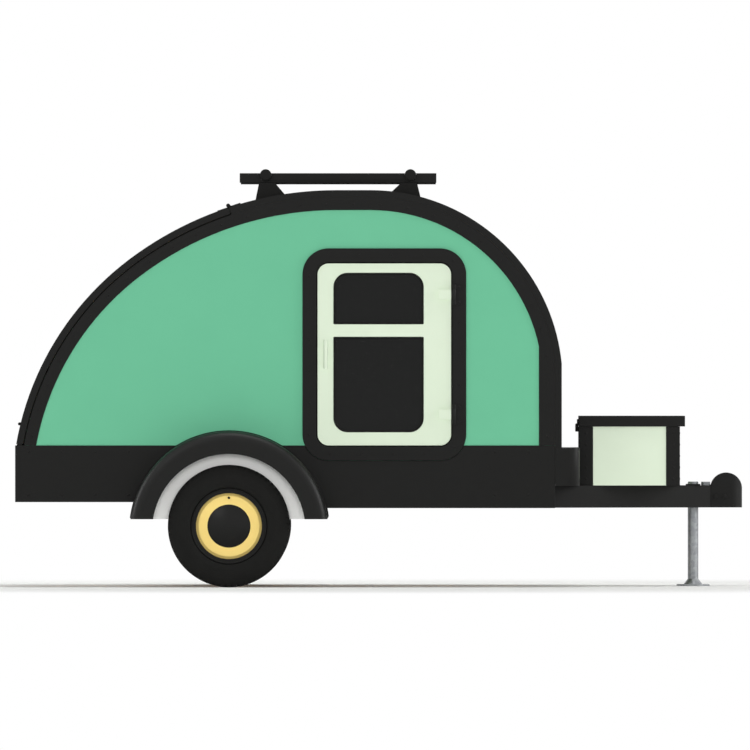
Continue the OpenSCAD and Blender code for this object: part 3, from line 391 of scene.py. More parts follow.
member_low, member_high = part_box("cross_members")
member_mesh = frame["nodes"]["cross_members"].data
member_points = np.empty(3 * len(member_mesh.vertices))
member_mesh.vertices.foreach_get("co", member_points)
# A member shows four places along the body: its outer and inner faces
member_x = np.unique(member_points[0::3].round(4)).reshape(-1, 4)
drawbar_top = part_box("drawbar_rails")[1].z
weld_starts = [(x, side * member_high.y, member_low.z) for x in member_x[:, 0] for side in (-1, 1)]
weld_ends = [(x, side * member_high.y, member_low.z) for x in member_x[:, 3] for side in (-1, 1)]
weld_starts.append((coupler_low.x, -COUPLER_WELD_HALF, drawbar_top))
weld_ends.append((coupler_low.x, COUPLER_WELD_HALF, drawbar_top))
fit(weld_beads("chassis_welds", weld_starts, weld_ends, WELD_R), powder_black)

# Stand, latch and hubs: bright zinc plate over steel, as it comes from the plating barrel.
# The plate's crystals make a faint patchwork of lighter and darker greys.
spangle_mm = 14
zinc, tree, shader, place = start_material("zinc_plated_steel")
spangle = add_node(tree, "ShaderNodeTexVoronoi", {"Scale": 1 / (spangle_mm * MM)}, {"Vector": place})
tint = add_node(tree, "ShaderNodeMix",
                {"data_type": "RGBA", MIX_FROM: linear("#85888B"), MIX_TO: linear("#A9ACAE")},
                {MIX_SHARE: spangle.outputs["Color"]})
gloss = add_node(tree, "ShaderNodeMapRange", {"To Min": 0.32, "To Max": 0.5},
                 {"Value": spangle.outputs["Color"]})
set_up(tree, shader, {"Metallic": 1.0},
       {"Base Color": tint.outputs[MIX_COLOUR], "Roughness": gloss.outputs[0]})
dress(zinc, "prop_stand", "coupler_latch", "hub_right", "hub_left")

# Tyres: radial trailer tyres in vulcanised rubber, with moulded blocks between four grooves and plain
# raised rings on the sidewalls. They sit on the rims' beads; the rubber is matt and slightly grey.
SIDES = (("right", -1), ("left", 1))
TYRE_R, TYRE_HALF_W, TREAD_T = 275 * MM, 77.5 * MM, 18 * MM
TREAD_HALF_W, CROWN_R, SHOULDER_DROP = 59 * MM, 420 * MM, 6 * MM
SIDE_R, SIDE_MIDDLE_R, SIDE_FOOT_R = 100 * MM, 213 * MM, 173 * MM
RING_RADII, RING_H, RING_SPREAD = (236 * MM, 197 * MM), 1 * MM, 2.5 * MM
BEAD_R, BEAD_HALF_W, BEAD_W, BEAD_H = 152.7 * MM, 53.7 * MM, 14 * MM, 34 * MM
GROOVES, GROOVE_W, GROOVE_D, GROOVE_EDGE = (15 * MM, 42 * MM), 8 * MM, 7 * MM, 0.6 * MM
RIB_POINTS = (4 * MM, 28 * MM, 52 * MM, TREAD_HALF_W)
BLOCKS, BLOCK_STEPS = 60, 12
SLOT_SLANT, SLOT_STEPS, SLOT_DEPTH = 0.9, 1.6, 0.8 * GROOVE_D
SLOT_END, SLOT_RAMP = 16 * MM, 8 * MM


def tyre_points(centre):
    """A tyre about the Y axis through centre: a closed profile of (radius, place across), turned.
    Crown: radius of a wide arc, less the groove depth inside four rings and inside slots across the ribs.
    Sides: arcs round (SIDE_MIDDLE_R, TYRE_HALF_W - SIDE_R), with two raised rings."""
    groove_edges = np.array([groove + way * GROOVE_W / 2 + edge for groove in GROOVES for way in (-1, 1)
                             for edge in (-GROOVE_EDGE, GROOVE_EDGE)])
    half_crown = np.sort(np.concatenate([groove_edges, GROOVES, RIB_POINTS]))
    crown_y = np.concatenate([-half_crown[::-1], [0.0], half_crown])
    crown_r = TYRE_R - CROWN_R + np.sqrt(CROWN_R ** 2 - crown_y ** 2)
    in_groove = np.abs(np.abs(crown_y)[:, None] - np.array(GROOVES)[None, :]).min(axis=1) < GROOVE_W / 2
    side_r = np.linspace(TYRE_R - SHOULDER_DROP, SIDE_FOOT_R, 32)
    side_y = TYRE_HALF_W - SIDE_R + np.sqrt(SIDE_R ** 2 - (side_r - SIDE_MIDDLE_R) ** 2)
    for ring_r in RING_RADII:
        side_y = side_y + RING_H * np.exp(-((side_r - ring_r) / RING_SPREAD) ** 2)
    bead_y = np.array([BEAD_HALF_W, BEAD_HALF_W, BEAD_HALF_W - BEAD_W, BEAD_HALF_W - BEAD_W])
    bead_r = np.array([SIDE_FOOT_R, BEAD_R, BEAD_R, BEAD_R + BEAD_H])
    liner = np.linspace(0, np.pi, 14)[1:-1]
    liner_r = BEAD_R + BEAD_H + (TYRE_R - TREAD_T - BEAD_R - BEAD_H) * np.sin(liner)
    liner_y = (BEAD_HALF_W - BEAD_W) * np.cos(liner)
    profile_r = np.concatenate([crown_r, side_r, bead_r, liner_r, bead_r[::-1], side_r[::-1]])
    profile_y = np.concatenate([crown_y, side_y, bead_y, liner_y, -bead_y[::-1], -side_y[::-1]])
    # Slots across the ribs: one for each block, in step on the shoulders and half a block on in between
    turn = np.linspace(0, 2 * np.pi, BLOCKS * BLOCK_STEPS, endpoint=False)
    rib = np.digitize(np.abs(profile_y), GROOVES)
    slant = SLOT_SLANT * profile_y / TREAD_HALF_W
    phase = (turn[:, None] * BLOCKS / (2 * np.pi) + 0.5 * (rib == 1)[None, :] + slant[None, :]) % 1
    slot = np.clip(SLOT_STEPS - np.abs(phase - 0.5) * BLOCK_STEPS, 0, 1)
    on_tread = np.clip((profile_r - (TYRE_R - SLOT_END)) / SLOT_RAMP, 0, 1) * (rib > 0)
    groove = np.zeros(len(profile_r))
    groove[:len(crown_y)] = GROOVE_D * in_groove
    depth = np.maximum(groove[None, :], SLOT_DEPTH * slot * on_tread[None, :])
    radius = profile_r[None, :] - depth
    across = np.broadcast_to(profile_y, radius.shape)
    return np.stack([centre[0] + radius * np.cos(turn)[:, None], centre[1] + across,
                     centre[2] + radius * np.sin(turn)[:, None]], axis=-1)


def wheel_centre(side_name):
    """The middle of a wheel on its spindle, from the frame's joint."""
    return next(joint["pos_m"] for joint in frame["joints"] if joint["name"] == f"wheel_{side_name}_spin")


rubber, tree, shader, place = start_material("tyre_rubber")
bloom_mm, grain_mm, grain_depth_mm = 60, 3, 0.15
_, tint = clouded(tree, place, bloom_mm, 4.0, "#131312", "#1B1B1A")
grain = bumpy(tree, place, grain_mm, 3.0, grain_depth_mm)
set_up(tree, shader, {"Roughness": 0.75, "Specular IOR Level": 0.15}, {"Base Color": tint, "Normal": grain})
for side_name, _ in SIDES:
    carcass = tyre_points(wheel_centre(side_name))
    rows, columns = carcass.shape[:2]
    tyre = put_mesh(f"moulded_tyre_{side_name}", carcass, [grid_faces(rows, columns, True, True)])
    fit(tyre, rubber, f"wheel_{side_name}")
    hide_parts(f"tyre_{side_name}")

# Wheels: rolled rims coated black, and pressed discs stove enamelled yellow, welded into them.
# A rubber valve stands in each disc; a black cap, domed and a little glossier, hides the nuts.
VALVE_R, VALVE_SINK = 127 * MM, 4 * MM
VALVE_HEIGHTS = np.array([-6, 0, 2, 4, 16, 18, 18, 27, 28]) * MM
VALVE_RADII = np.array([7, 8, 8, 5.5, 4.5, 4.2, 5.2, 5.0, 3.6]) * MM
yellow = coated("yellow_stove_enamel", "#FFE188", "#FCDD83", roughness=0.4, specular=0.3, peel_mm=5,
                wave_depth_mm=0.1)
cap_black = coated("black_moulded_cap", "#0F0F0E", "#131312", roughness=0.36, specular=0.22, peel_mm=4,
                   peel_depth_mm=0.02, wave_depth_mm=0.1)
dress(powder_black, "rim_right", "rim_left")
dress(yellow, "disc_right", "disc_left")
dress(cap_black, "cap_right", "cap_left")
for side_name, side in SIDES:
    spindle_x, _, spindle_z = wheel_centre(side_name)
    disc_low, disc_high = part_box(f"disc_{side_name}")
    disc_face = disc_low.y if side < 0 else disc_high.y
    valve_place = [(spindle_x, disc_face - side * VALVE_SINK, spindle_z + VALVE_R)]
    put_heads(f"valve_{side_name}", valve_place, VALVE_HEIGHTS, VALVE_RADII, rubber,
              f"wheel_{side_name}")

# Floor and galley: birch plywood, sanded and varnished matt.
# Rotary-cut veneer shows long soft grain along the sheet, with darker flecks.
birch, tree, shader, place = start_material("birch_plywood")
grain_width_mm, grain_stretch, fleck_mm = 26, 0.06, 9
stretched = add_node(tree, "ShaderNodeMapping", {"Scale": (1.0, grain_stretch, 1.0)}, {"Vector": place})
along = stretched.outputs[0]
grain = add_node(tree, "ShaderNodeTexNoise",
                 {"Scale": 1 / (grain_width_mm * MM), "Detail": 6.0, "Distortion": 0.6}, {"Vector": along})
fleck = add_node(tree, "ShaderNodeTexNoise", {"Scale": 1 / (fleck_mm * MM), "Detail": 2.0}, {"Vector": along})
tint = add_node(tree, "ShaderNodeMix",
                {"data_type": "RGBA", MIX_FROM: linear("#D6B485"), MIX_TO: linear("#BE9560")},
                {MIX_SHARE: grain.outputs["Fac"]})
spots = add_node(tree, "ShaderNodeMapRange", {"From Min": 0.62, "From Max": 0.75, "To Max": 0.35},
                 {"Value": fleck.outputs["Fac"]})
flecked = add_node(tree, "ShaderNodeMix", {"data_type": "RGBA", MIX_TO: linear("#A67C4A")},
                   {MIX_SHARE: spots.outputs[0], MIX_FROM: tint.outputs[MIX_COLOUR]})
bump = add_node(tree, "ShaderNodeBump", {"Distance": 0.1 * MM}, {"Height": grain.outputs["Fac"]})
set_up(tree, shader, {"Roughness": 0.5, "Specular IOR Level": 0.35},
       {"Base Color": flecked.outputs[MIX_COLOUR], "Normal": bump.outputs["Normal"]})
dress(birch, "floor_deck", "bulkheads", "galley_counter", "galley_front", "galley_shelf")
soften(2 * MM, "galley_counter", "galley_front", "galley_shelf")

# Mattress: a foam slab in a woven cotton cover, piped along its edges and buttoned through.
# The cover swells between the buttons; its slack is found by a short cloth run.
PAD_INSET, PAD_FOOT, PAD_ROOM, VOXEL = 7 * MM, 1 * MM, 1 * MM, 16 * MM
CLOTH_PRESSURE, CLOTH_STEPS, SWELL_CAP = 4.0, 20, 6 * MM
BUTTON_COLUMNS, BUTTON_END, BUTTON_ROWS, BUTTON_SIDE = 5, 220 * MM, 4, 200 * MM
BUTTON_PULL, BUTTON_SPREAD = 12 * MM, 70 * MM
BUTTON_HEIGHTS = np.array([-2, 0, 3, 5, 6]) * MM
BUTTON_RADII = np.array([12, 14, 13, 9, 3]) * MM
PIPE_R, PIPE_IN, PIPE_CORNER = 4.5 * MM, 10 * MM, 30 * MM


def rounded_path(x0, z0, x1, z1, radii, points=14):
    """A rectangle with rounded corners as a closed path in (x, z), from the low rear corner round by the
    low front one: a quarter arc of the given radius at each corner, and straight lines between them."""
    corners = [(x0, z0, 1, 1, np.pi), (x1, z0, -1, 1, 1.5 * np.pi), (x1, z1, -1, -1, 0.0),
               (x0, z1, 1, -1, 0.5 * np.pi)]
    stretches = []
    for (x, z, right, up, begin), radius in zip(corners, radii):
        turn = begin + np.linspace(0, np.pi / 2, points)
        stretches.append(np.stack([x + right * radius + radius * np.cos(turn),
                                   z + up * radius + radius * np.sin(turn)], axis=-1))
    return np.concatenate(stretches)


def tube(name, path, radius, sides=10, closed=False):
    """A round cord along a path: rings of the given radius, square to the path's central differences."""
    path = np.asarray(path, float)
    count = len(path)
    if closed:
        ahead = np.roll(path, -1, axis=0) - np.roll(path, 1, axis=0)
        faces = [grid_faces(count, sides, wrap_rows=True, wrap_columns=True)]
    else:
        ahead = np.gradient(path, axis=0)
        faces = tube_faces(count, sides)
    return put_mesh(name, path[:, None, :] + radius * spokes_round(unit(ahead), sides), faces)


def baked_points(source):
    """The points and the four-cornered faces of an object as its modifiers leave them at this frame."""
    shaped = source.evaluated_get(bpy.context.evaluated_depsgraph_get())
    made = shaped.to_mesh()
    points, corners = np.empty(3 * len(made.vertices)), np.empty(len(made.loops), np.int32)
    made.vertices.foreach_get("co", points)
    made.loops.foreach_get("vertex_index", corners)
    shaped.to_mesh_clear()
    return points.reshape(-1, 3), corners.reshape(-1, 4)


pad_low, pad_high = (np.array(corner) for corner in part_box("mattress"))
start_low = pad_low + [PAD_INSET, PAD_INSET, PAD_FOOT]
start_high = pad_high - PAD_INSET
unit_corners = np.array([[i, j, k] for i in (0, 1) for j in (0, 1) for k in (0, 1)])
slab_quads = np.array([[0, 1, 3, 2], [4, 6, 7, 5], [0, 4, 5, 1], [2, 3, 7, 6], [0, 2, 6, 4], [1, 5, 7, 3]])
slab = put_mesh("mattress_slab", start_low + unit_corners * (start_high - start_low), [slab_quads])
voxels = slab.modifiers.new("voxels", "REMESH")
voxels.mode = "VOXEL"
voxels.voxel_size = VOXEL
rest_points, pad_faces = baked_points(slab)
bpy.data.objects.remove(slab)
pad = put_mesh("buttoned_mattress", rest_points, [pad_faces])
swollen = rest_points
cover = pad.modifiers.new("cover", "CLOTH")
cover.settings.use_pressure = True
cover.settings.uniform_pressure_force = CLOTH_PRESSURE
cover.settings.effector_weights.gravity = 0.0
for step in range(1, CLOTH_STEPS + 1):
    bpy.context.scene.frame_set(step)
swollen, _ = baked_points(pad)
pad.modifiers.remove(cover)
bpy.context.scene.frame_set(1)
moved = swollen - rest_points
moved = moved * np.minimum(1, SWELL_CAP / np.maximum(np.linalg.norm(moved, axis=1, keepdims=True), 1e-9))
padded_points = rest_points + moved
button_x = np.linspace(pad_low[0] + BUTTON_END, pad_high[0] - BUTTON_END, BUTTON_COLUMNS)
button_y = np.linspace(pad_low[1] + BUTTON_SIDE, pad_high[1] - BUTTON_SIDE, BUTTON_ROWS)
buttons = np.stack(np.meshgrid(button_x, button_y), axis=-1).reshape(-1, 2)
nearest = np.linalg.norm(padded_points[:, None, :2] - buttons[None], axis=2).min(axis=1)
top_side = padded_points[:, 2] > (pad_low[2] + pad_high[2]) / 2
padded_points[:, 2] -= np.where(top_side, BUTTON_PULL * np.exp(-(nearest / BUTTON_SPREAD) ** 2), 0)
padded_points = np.clip(padded_points, pad_low + [PAD_ROOM, PAD_ROOM, 0], pad_high)
pad.data.vertices.foreach_set("co", padded_points.ravel())
pad.data.update()
rounding = pad.modifiers.new("rounding", "SUBSURF")
rounding.levels = rounding.render_levels = 1
cotton, tree, shader, place = start_material("woven_cotton_cover")
# Drawn coarser than the real 0.6 mm, so that the weave shows; a wave of scale s repeats every pi / (10 s)
thread_mm = 6
weave = [add_node(tree, "ShaderNodeTexWave",
                  {"bands_direction": way, "Scale": np.pi / (10 * thread_mm * MM)}, {"Vector": place})
         for way in ("X", "Y")]
crossing = add_node(tree, "ShaderNodeMath", {"operation": "MULTIPLY"},
                    {0: weave[0].outputs["Fac"], 1: weave[1].outputs["Fac"]})
tint = add_node(tree, "ShaderNodeMix",
                {"data_type": "RGBA", MIX_FROM: linear("#CFC8B8"), MIX_TO: linear("#E2DCCF")},
                {MIX_SHARE: crossing.outputs[0]})
bump = add_node(tree, "ShaderNodeBump", {"Distance": 0.3 * MM}, {"Height": crossing.outputs[0]})
set_up(tree, shader, {"Roughness": 0.9, "Specular IOR Level": 0.2, "Sheen Weight": 0.2},
       {"Base Color": tint.outputs[MIX_COLOUR], "Normal": bump.outputs["Normal"]})
fit(pad, cotton)
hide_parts("mattress")
pipe_ring = rounded_path(pad_low[0] + PIPE_IN, pad_low[1] + PIPE_IN, pad_high[0] - PIPE_IN,
                         pad_high[1] - PIPE_IN, [PIPE_CORNER] * 4)
for edge_name, pipe_z in (("top", pad_high[2] - PIPE_IN), ("bottom", pad_low[2] + PIPE_IN)):
    pipe_path = np.column_stack([pipe_ring, np.full(len(pipe_ring), pipe_z)])
    piping = tube(f"mattress_piping_{edge_name}", pipe_path, PIPE_R, closed=True)
    fit(piping, cotton)
top_points = padded_points[top_side]
under_button = np.linalg.norm(top_points[None, :, :2] - buttons[:, None], axis=2).argmin(axis=1)
button_places = np.column_stack([buttons, top_points[under_button, 2]])
put_heads("mattress_buttons", button_places, BUTTON_HEIGHTS, BUTTON_RADII, cotton,
          normals=[(0, 0, 1)] * len(buttons))

# Side walls: insulated panels skinned in sheet and sprayed mint green in a soft gloss.
# The sheet is bonded to its core, so a long shallow wave shows in the reflections; birch lines the inside.
mint = coated("mint_sprayed_sheet", "#6DBF98", "#6ABB95", roughness=0.46, specular=0.25, wave_depth_mm=0.4)
dress(mint, "side_wall_right", "side_wall_left")


def line_inside(material, *nodes):
    """Adds a second material on the faces of a shell that look into the cabin: those whose normal lies
    within 75 degrees or so of the direction from the face to the middle of the cabin."""
    cabin_middle, facing = np.array([-0.3, 0.0, 1.0]), 0.25
    for node in nodes:
        mesh = frame["nodes"][node].data
        centres, normals = np.empty(3 * len(mesh.polygons)), np.empty(3 * len(mesh.polygons))
        mesh.polygons.foreach_get("center", centres)
        mesh.polygons.foreach_get("normal", normals)
        inwards = unit(cabin_middle - centres.reshape(-1, 3))
        lined = np.sum(inwards * normals.reshape(-1, 3), axis=1) > facing
        mesh.materials.append(material)
        mesh.polygons.foreach_set("material_index", lined.astype(np.int32))
        mesh.update()


line_inside(birch, "side_wall_right", "side_wall_left")

# Black skins: aluminium sheet over the roof, nose, hatch, edges and skirts, sprayed satin black.
# It is folded and bonded on; the curved panels are lined with birch, like the walls.
EDGE_ROUND = 1.5 * MM
skin_black = coated("black_sprayed_sheet", "#0F0F0E", "#131312", roughness=0.45, specular=0.2,
                    wave_depth_mm=0.4)
dress(skin_black, "roof_shell", "front_shell", "hatch", "rear_valance", "front_sill", "skirt_right",
      "skirt_left", "edge_trim_right", "edge_trim_left", "hatch_hinge", "hatch_knuckles", "hatch_bar")
line_inside(birch, "roof_shell", "front_shell", "hatch")
soften(EDGE_ROUND, "rear_valance", "front_sill", "skirt_right", "skirt_left")

# Screws of the edge trim: pan heads along the middle of the black edging, in black oxide.
# They follow the body's side outline, from the tail's foot over the roof to the front wall.
LOW_CENTRE, LOW_R = np.array([-328.2, 414.6]) * MM, 1327 * MM
HIGH_CENTRE, HIGH_R = np.array([-195.0, 237.0]) * MM, 1549 * MM
FRONT_CENTRE, FRONT_R = np.array([-40.0, 922.0]) * MM, 864 * MM
JOIN_TURN, SEAM_TURN = np.arctan2(4, -3), np.radians(108.2075)
SCREW_HEIGHTS = np.array([-0.5, 0.0, 1.6, 2.6, 2.9]) * MM
SCREW_RADII = np.array([5.0, 5.0, 4.6, 3.2, 1.0]) * MM
TRIM_SCREW_INSET, TRIM_SCREW_RISE, TRIM_SCREW_STEP = 63 * MM, 40 * MM, 120 * MM
front_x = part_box("front_shell")[1].x


def spaced(path, spacing):
    """Points at even steps of about the given spacing along a path of (x, z) points."""
    length = np.concatenate([[0], np.cumsum(np.linalg.norm(np.diff(path, axis=0), axis=1))])
    even = np.linspace(0, length[-1], max(2, int(round(length[-1] / spacing)) + 1))
    return np.stack([np.interp(even, length, path[:, 0]), np.interp(even, length, path[:, 1])], axis=-1)


def outline_path(inset, low_z, spacing, past_seam=True):
    """Points on the outline drawn in by inset: the lower rear arc up to its join and the upper rear arc to
    the hatch's seam, then to the crown, the front arc and the upright front, spaced evenly along it."""
    low_turn = np.pi - np.arcsin((low_z - LOW_CENTRE[1]) / (LOW_R - inset))
    front_turn = np.arccos((front_x - inset - FRONT_CENTRE[0]) / (FRONT_R - inset))
    arcs = [(LOW_CENTRE, LOW_R, low_turn, JOIN_TURN), (HIGH_CENTRE, HIGH_R, JOIN_TURN, SEAM_TURN)]
    if past_seam:
        arcs += [(HIGH_CENTRE, HIGH_R, SEAM_TURN, np.pi / 2),
                 (FRONT_CENTRE, FRONT_R, np.pi / 2, front_turn)]
    stretches = []
    for centre, radius, begin, end in arcs:
        turn = np.linspace(begin, end, 200)
        stretches.append(centre + (radius - inset) * np.stack([np.cos(turn), np.sin(turn)], axis=-1))
    if past_seam:
        stretches.append(np.array([[front_x - inset, low_z]]))
    return spaced(np.concatenate(stretches), spacing)


trim_low, trim_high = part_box("edge_trim_left")
trim_path = outline_path(TRIM_SCREW_INSET, trim_low.z + TRIM_SCREW_RISE, TRIM_SCREW_STEP)
trim_screw_places = [(x, side * trim_high.y, z) for side in (-1, 1) for x, z in trim_path]
put_heads("trim_screws", trim_screw_places, SCREW_HEIGHTS, SCREW_RADII)

# Rivets of the skirts: domed heads in two rows, under the upper edge and above the lower one.
# They are set before the coat, so they are black; none sits under a fender or a door frame.
RIVET_HEIGHTS = np.array([-0.5, 0.0, 1.2, 2.2, 2.6]) * MM
RIVET_RADII = np.array([6.0, 6.0, 5.2, 3.2, 0.8]) * MM
RIVET_START, RIVET_STEP, RIVET_CLEAR = 60 * MM, 150 * MM, 20 * MM
RIVET_DROP, RIVET_RISE = 28 * MM, 60 * MM
skirt_low, skirt_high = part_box("skirt_left")
fender_low, fender_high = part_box("fender_left")
frame_low, frame_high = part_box("door_frame_left")
rivet_x = np.arange(skirt_low.x + RIVET_START, skirt_high.x, RIVET_STEP)
clear_of = [(fender_low.x, fender_high.x), (frame_low.x - RIVET_CLEAR, frame_high.x + RIVET_CLEAR)]
rivet_x = [x for x in rivet_x if not any(low < x < high for low, high in clear_of)]
rivet_places = [(x, side * skirt_high.y, z) for z in (skirt_high.z - RIVET_DROP, skirt_low.z + RIVET_RISE)
                for side in (-1, 1) for x in rivet_x]
put_heads("skirt_rivets", rivet_places, RIVET_HEIGHTS, RIVET_RADII)

# Fenders: pressed aluminium with a rolled inner edge, sprayed satin black.
# A rubber welt is nipped between each fender and the wall.
FENDER_R, WELT_R, WELT_FOOT = 446 * MM, 4.5 * MM, 4 * MM
fender_black = coated("black_pressed_aluminium", "#0F0F0E", "#141413", roughness=0.42, specular=0.22)
epdm = coated("black_epdm_rubber", "#161615", "#1B1B1A", roughness=0.7, specular=0.12, peel_mm=3,
              peel_depth_mm=0.05, wave_depth_mm=0.0)
dress(fender_black, "fender_right", "fender_left")
for side_name, side in SIDES:
    low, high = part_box(f"fender_{side_name}")
    arch_x, arch_z = (low.x + high.x) / 2, high.z - FENDER_R
    foot_turn = np.arcsin((low.z + WELT_FOOT - arch_z) / FENDER_R)
    turn = np.linspace(foot_turn, np.pi - foot_turn, 121)
    welt_y = np.full_like(turn, side * (skirt_high.y + WELT_R))
    welt_path = np.stack([arch_x + FENDER_R * np.cos(turn), welt_y, arch_z + FENDER_R * np.sin(turn)],
                         axis=-1)
    fit(tube(f"fender_welt_{side_name}", welt_path, WELT_R), epdm)

# Splash panels: white polyethylene sheet behind the wheels, cut to fit inside the fenders.
# The sheet is waxy and faintly hazed by road dirt.
splash_white = coated("white_polyethylene", "#FBFBF9", "#F4F4F1", roughness=0.55, specular=0.3, peel_mm=5,
                      peel_depth_mm=0.05, wave_depth_mm=0.2)
dress(splash_white, "splash_panels")

# Hatch seals: black rubber on the walls' rear edges, on the sill below and on the roof's rear edge.
# They close the running gap all round the shut hatch and stay on the body when it lifts.
SEAL_R, SEAL_SIDES, SEAL_STEP = 2.65 * MM, 16, 25 * MM
SEAL_INSET, SEAL_Y, SEAL_RISE = 33 * MM, 690 * MM, 4 * MM
BLOCK_END, BLOCK_CORNERS, BLOCK_POINTS = 1 * MM, [2.4 * MM] * 4, 5
SILL_SEAL_X, SILL_GAP, SILL_SEAL_GAP = (3 * MM, 27 * MM), 0.1 * MM, 0.4 * MM
SEAM_SEAL_DEPTH, SEAM_SEAL_WAY = (-27 * MM, -4 * MM), (-2.9 * MM, 2.4 * MM)


def crossbar(name, section, half_length):
    """A closed section of (x, z) points drawn out across the body, from -half_length to half_length."""
    section = np.asarray(section, float)
    count = len(section)
    points = np.stack([np.column_stack([section[:, 0], np.full(count, y), section[:, 1]])
                       for y in (-half_length, half_length)])
    ends = np.stack([np.arange(count), np.arange(count)[::-1] + count])
    return put_mesh(name, points, [grid_faces(2, count, wrap_columns=True), ends], smooth=False)


def across_skin(centre, radius, turn, flat):
    """Points (outward, backward) of a flat section, placed at a turn on a skin of that centre and radius."""
    outward = np.array([np.cos(turn), np.sin(turn)])
    backward = np.array([-outward[1], outward[0]])
    return centre + (radius + flat[:, :1]) * outward + flat[:, 1:] * backward


hatch_low, hatch_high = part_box("hatch")
seal_line = outline_path(SEAL_INSET, hatch_low.z + SEAL_RISE, SEAL_STEP, past_seam=False)
for side_name, side in SIDES:
    seal_path = np.column_stack([seal_line[:, 0], np.full(len(seal_line), side * SEAL_Y), seal_line[:, 1]])
    fit(tube(f"hatch_seal_{side_name}", seal_path, SEAL_R, sides=SEAL_SIDES), epdm)
skin_half = hatch_high.y - BLOCK_END
sill_section = rounded_path(hatch_low.x + SILL_SEAL_X[0], skirt_high.z + SILL_GAP,
                            hatch_low.x + SILL_SEAL_X[1], hatch_low.z - SILL_SEAL_GAP,
                            BLOCK_CORNERS, BLOCK_POINTS)
fit(crossbar("hatch_sill_seal", sill_section, skin_half), epdm)
seam_flat = rounded_path(SEAM_SEAL_DEPTH[0], SEAM_SEAL_WAY[0], SEAM_SEAL_DEPTH[1], SEAM_SEAL_WAY[1],
                         BLOCK_CORNERS, BLOCK_POINTS)
seam_section = across_skin(HIGH_CENTRE, HIGH_R, SEAM_TURN, seam_flat)
fit(crossbar("hatch_seam_seal", seam_section, skin_half), epdm)

# Roof joint: a bead of black sealant fills the butt joint between the roof sheet and the front sheet.
# It is tooled in just below the skins and stops short of the lining.
JOINT_IN, JOINT_OUT = -28 * MM, -0.6 * MM
JOINT_BACK, JOINT_FRONT = -0.01 * MM, -0.29 * MM
roof_end_turn = np.arccos((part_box("roof_shell")[1].x - FRONT_CENTRE[0]) / FRONT_R)
joint_flat = np.array([[JOINT_IN, JOINT_BACK], [JOINT_IN, JOINT_FRONT], [JOINT_OUT, JOINT_FRONT],
                       [JOINT_OUT, JOINT_BACK]])
joint_section = across_skin(FRONT_CENTRE, FRONT_R, roof_end_turn, joint_flat)
fit(crossbar("roof_joint_sealant", joint_section, skin_half), epdm)

# Tail lamps: moulded red acrylic lenses with upright prism ribs inside a plain rim.
# They are clipped into pockets of the valance and lie flush with it.
LAMP_WIDTH, LAMP_CORNER, LAMP_RIM, RIM_RAMP = 150 * MM, 20 * MM, 6 * MM, 2 * MM
RIB_PITCH, RIB_DEPTH = 6 * MM, 1.6 * MM


def lens_points(low, high):
    """Front and back of a lens as two grids in rows of equal height. A row's half width is that of a
    rounded rectangle at its height. Inside the rim the front is drawn in by
    RIB_DEPTH * sin(pi * y / RIB_PITCH) ** 2."""
    rows, columns = 41, 241
    half = (high - low) / 2
    middle = (high + low) / 2
    z = np.linspace(-half[2], half[2], rows)[:, None]
    past = np.maximum(0, np.abs(z) - (half[2] - LAMP_CORNER))
    half_width = half[1] - LAMP_CORNER + np.sqrt(np.maximum(0, LAMP_CORNER ** 2 - past ** 2))
    y = np.linspace(-1, 1, columns)[None, :] * half_width
    rim = np.minimum(half_width - np.abs(y), half[2] - np.abs(z))
    inside = np.clip((rim - LAMP_RIM) / RIM_RAMP, 0, 1)
    depth = RIB_DEPTH * inside * np.sin(np.pi * y / RIB_PITCH) ** 2
    upright = np.broadcast_to(middle[2] + z, y.shape)
    front = np.stack([low[0] + depth, middle[1] + y, upright], axis=-1)
    back = np.stack([np.full(y.shape, high[0]), middle[1] + y, upright], axis=-1)
    return np.stack([front, back])


def slab_faces(rows, columns):
    """Faces of a closed slab between two grids of points: both grids and the strip round their edge."""
    index = np.arange(rows * columns).reshape(rows, columns)
    rim = np.concatenate([index[0, :-1], index[:-1, -1], index[-1, :0:-1], index[:0:-1, 0]])
    ahead = np.roll(rim, -1)
    strip_quads = np.stack([rim, ahead, ahead + rows * columns, rim + rows * columns], axis=-1)
    front = grid_faces(rows, columns)
    return [front, front[:, ::-1] + rows * columns, strip_quads]


lens_red, tree, shader, place = start_material("red_lamp_acrylic")
haze_mm = 30
_, tint = clouded(tree, place, haze_mm, 3.0, "#B0201A", "#BC2A22")
set_up(tree, shader, {"Roughness": 0.12, "IOR": 1.49}, {"Base Color": tint})
lamp_low, lamp_high = (np.array(corner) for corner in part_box("tail_lamps"))
lenses = np.stack([lens_points(np.array([lamp_low[0], y, lamp_low[2]]),
                               np.array([lamp_high[0], y + LAMP_WIDTH, lamp_high[2]]))
                   for y in (lamp_low[1], lamp_high[1] - LAMP_WIDTH)])
lens_rows, lens_columns = lenses.shape[2:4]
lens_faces = [repeated(block, 2, 2 * lens_rows * lens_columns)
              for block in slab_faces(lens_rows, lens_columns)]
tail_lenses = put_mesh("ribbed_tail_lenses", lenses, lens_faces, smooth=False)
fit(tail_lenses, lens_red)
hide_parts("tail_lamps")

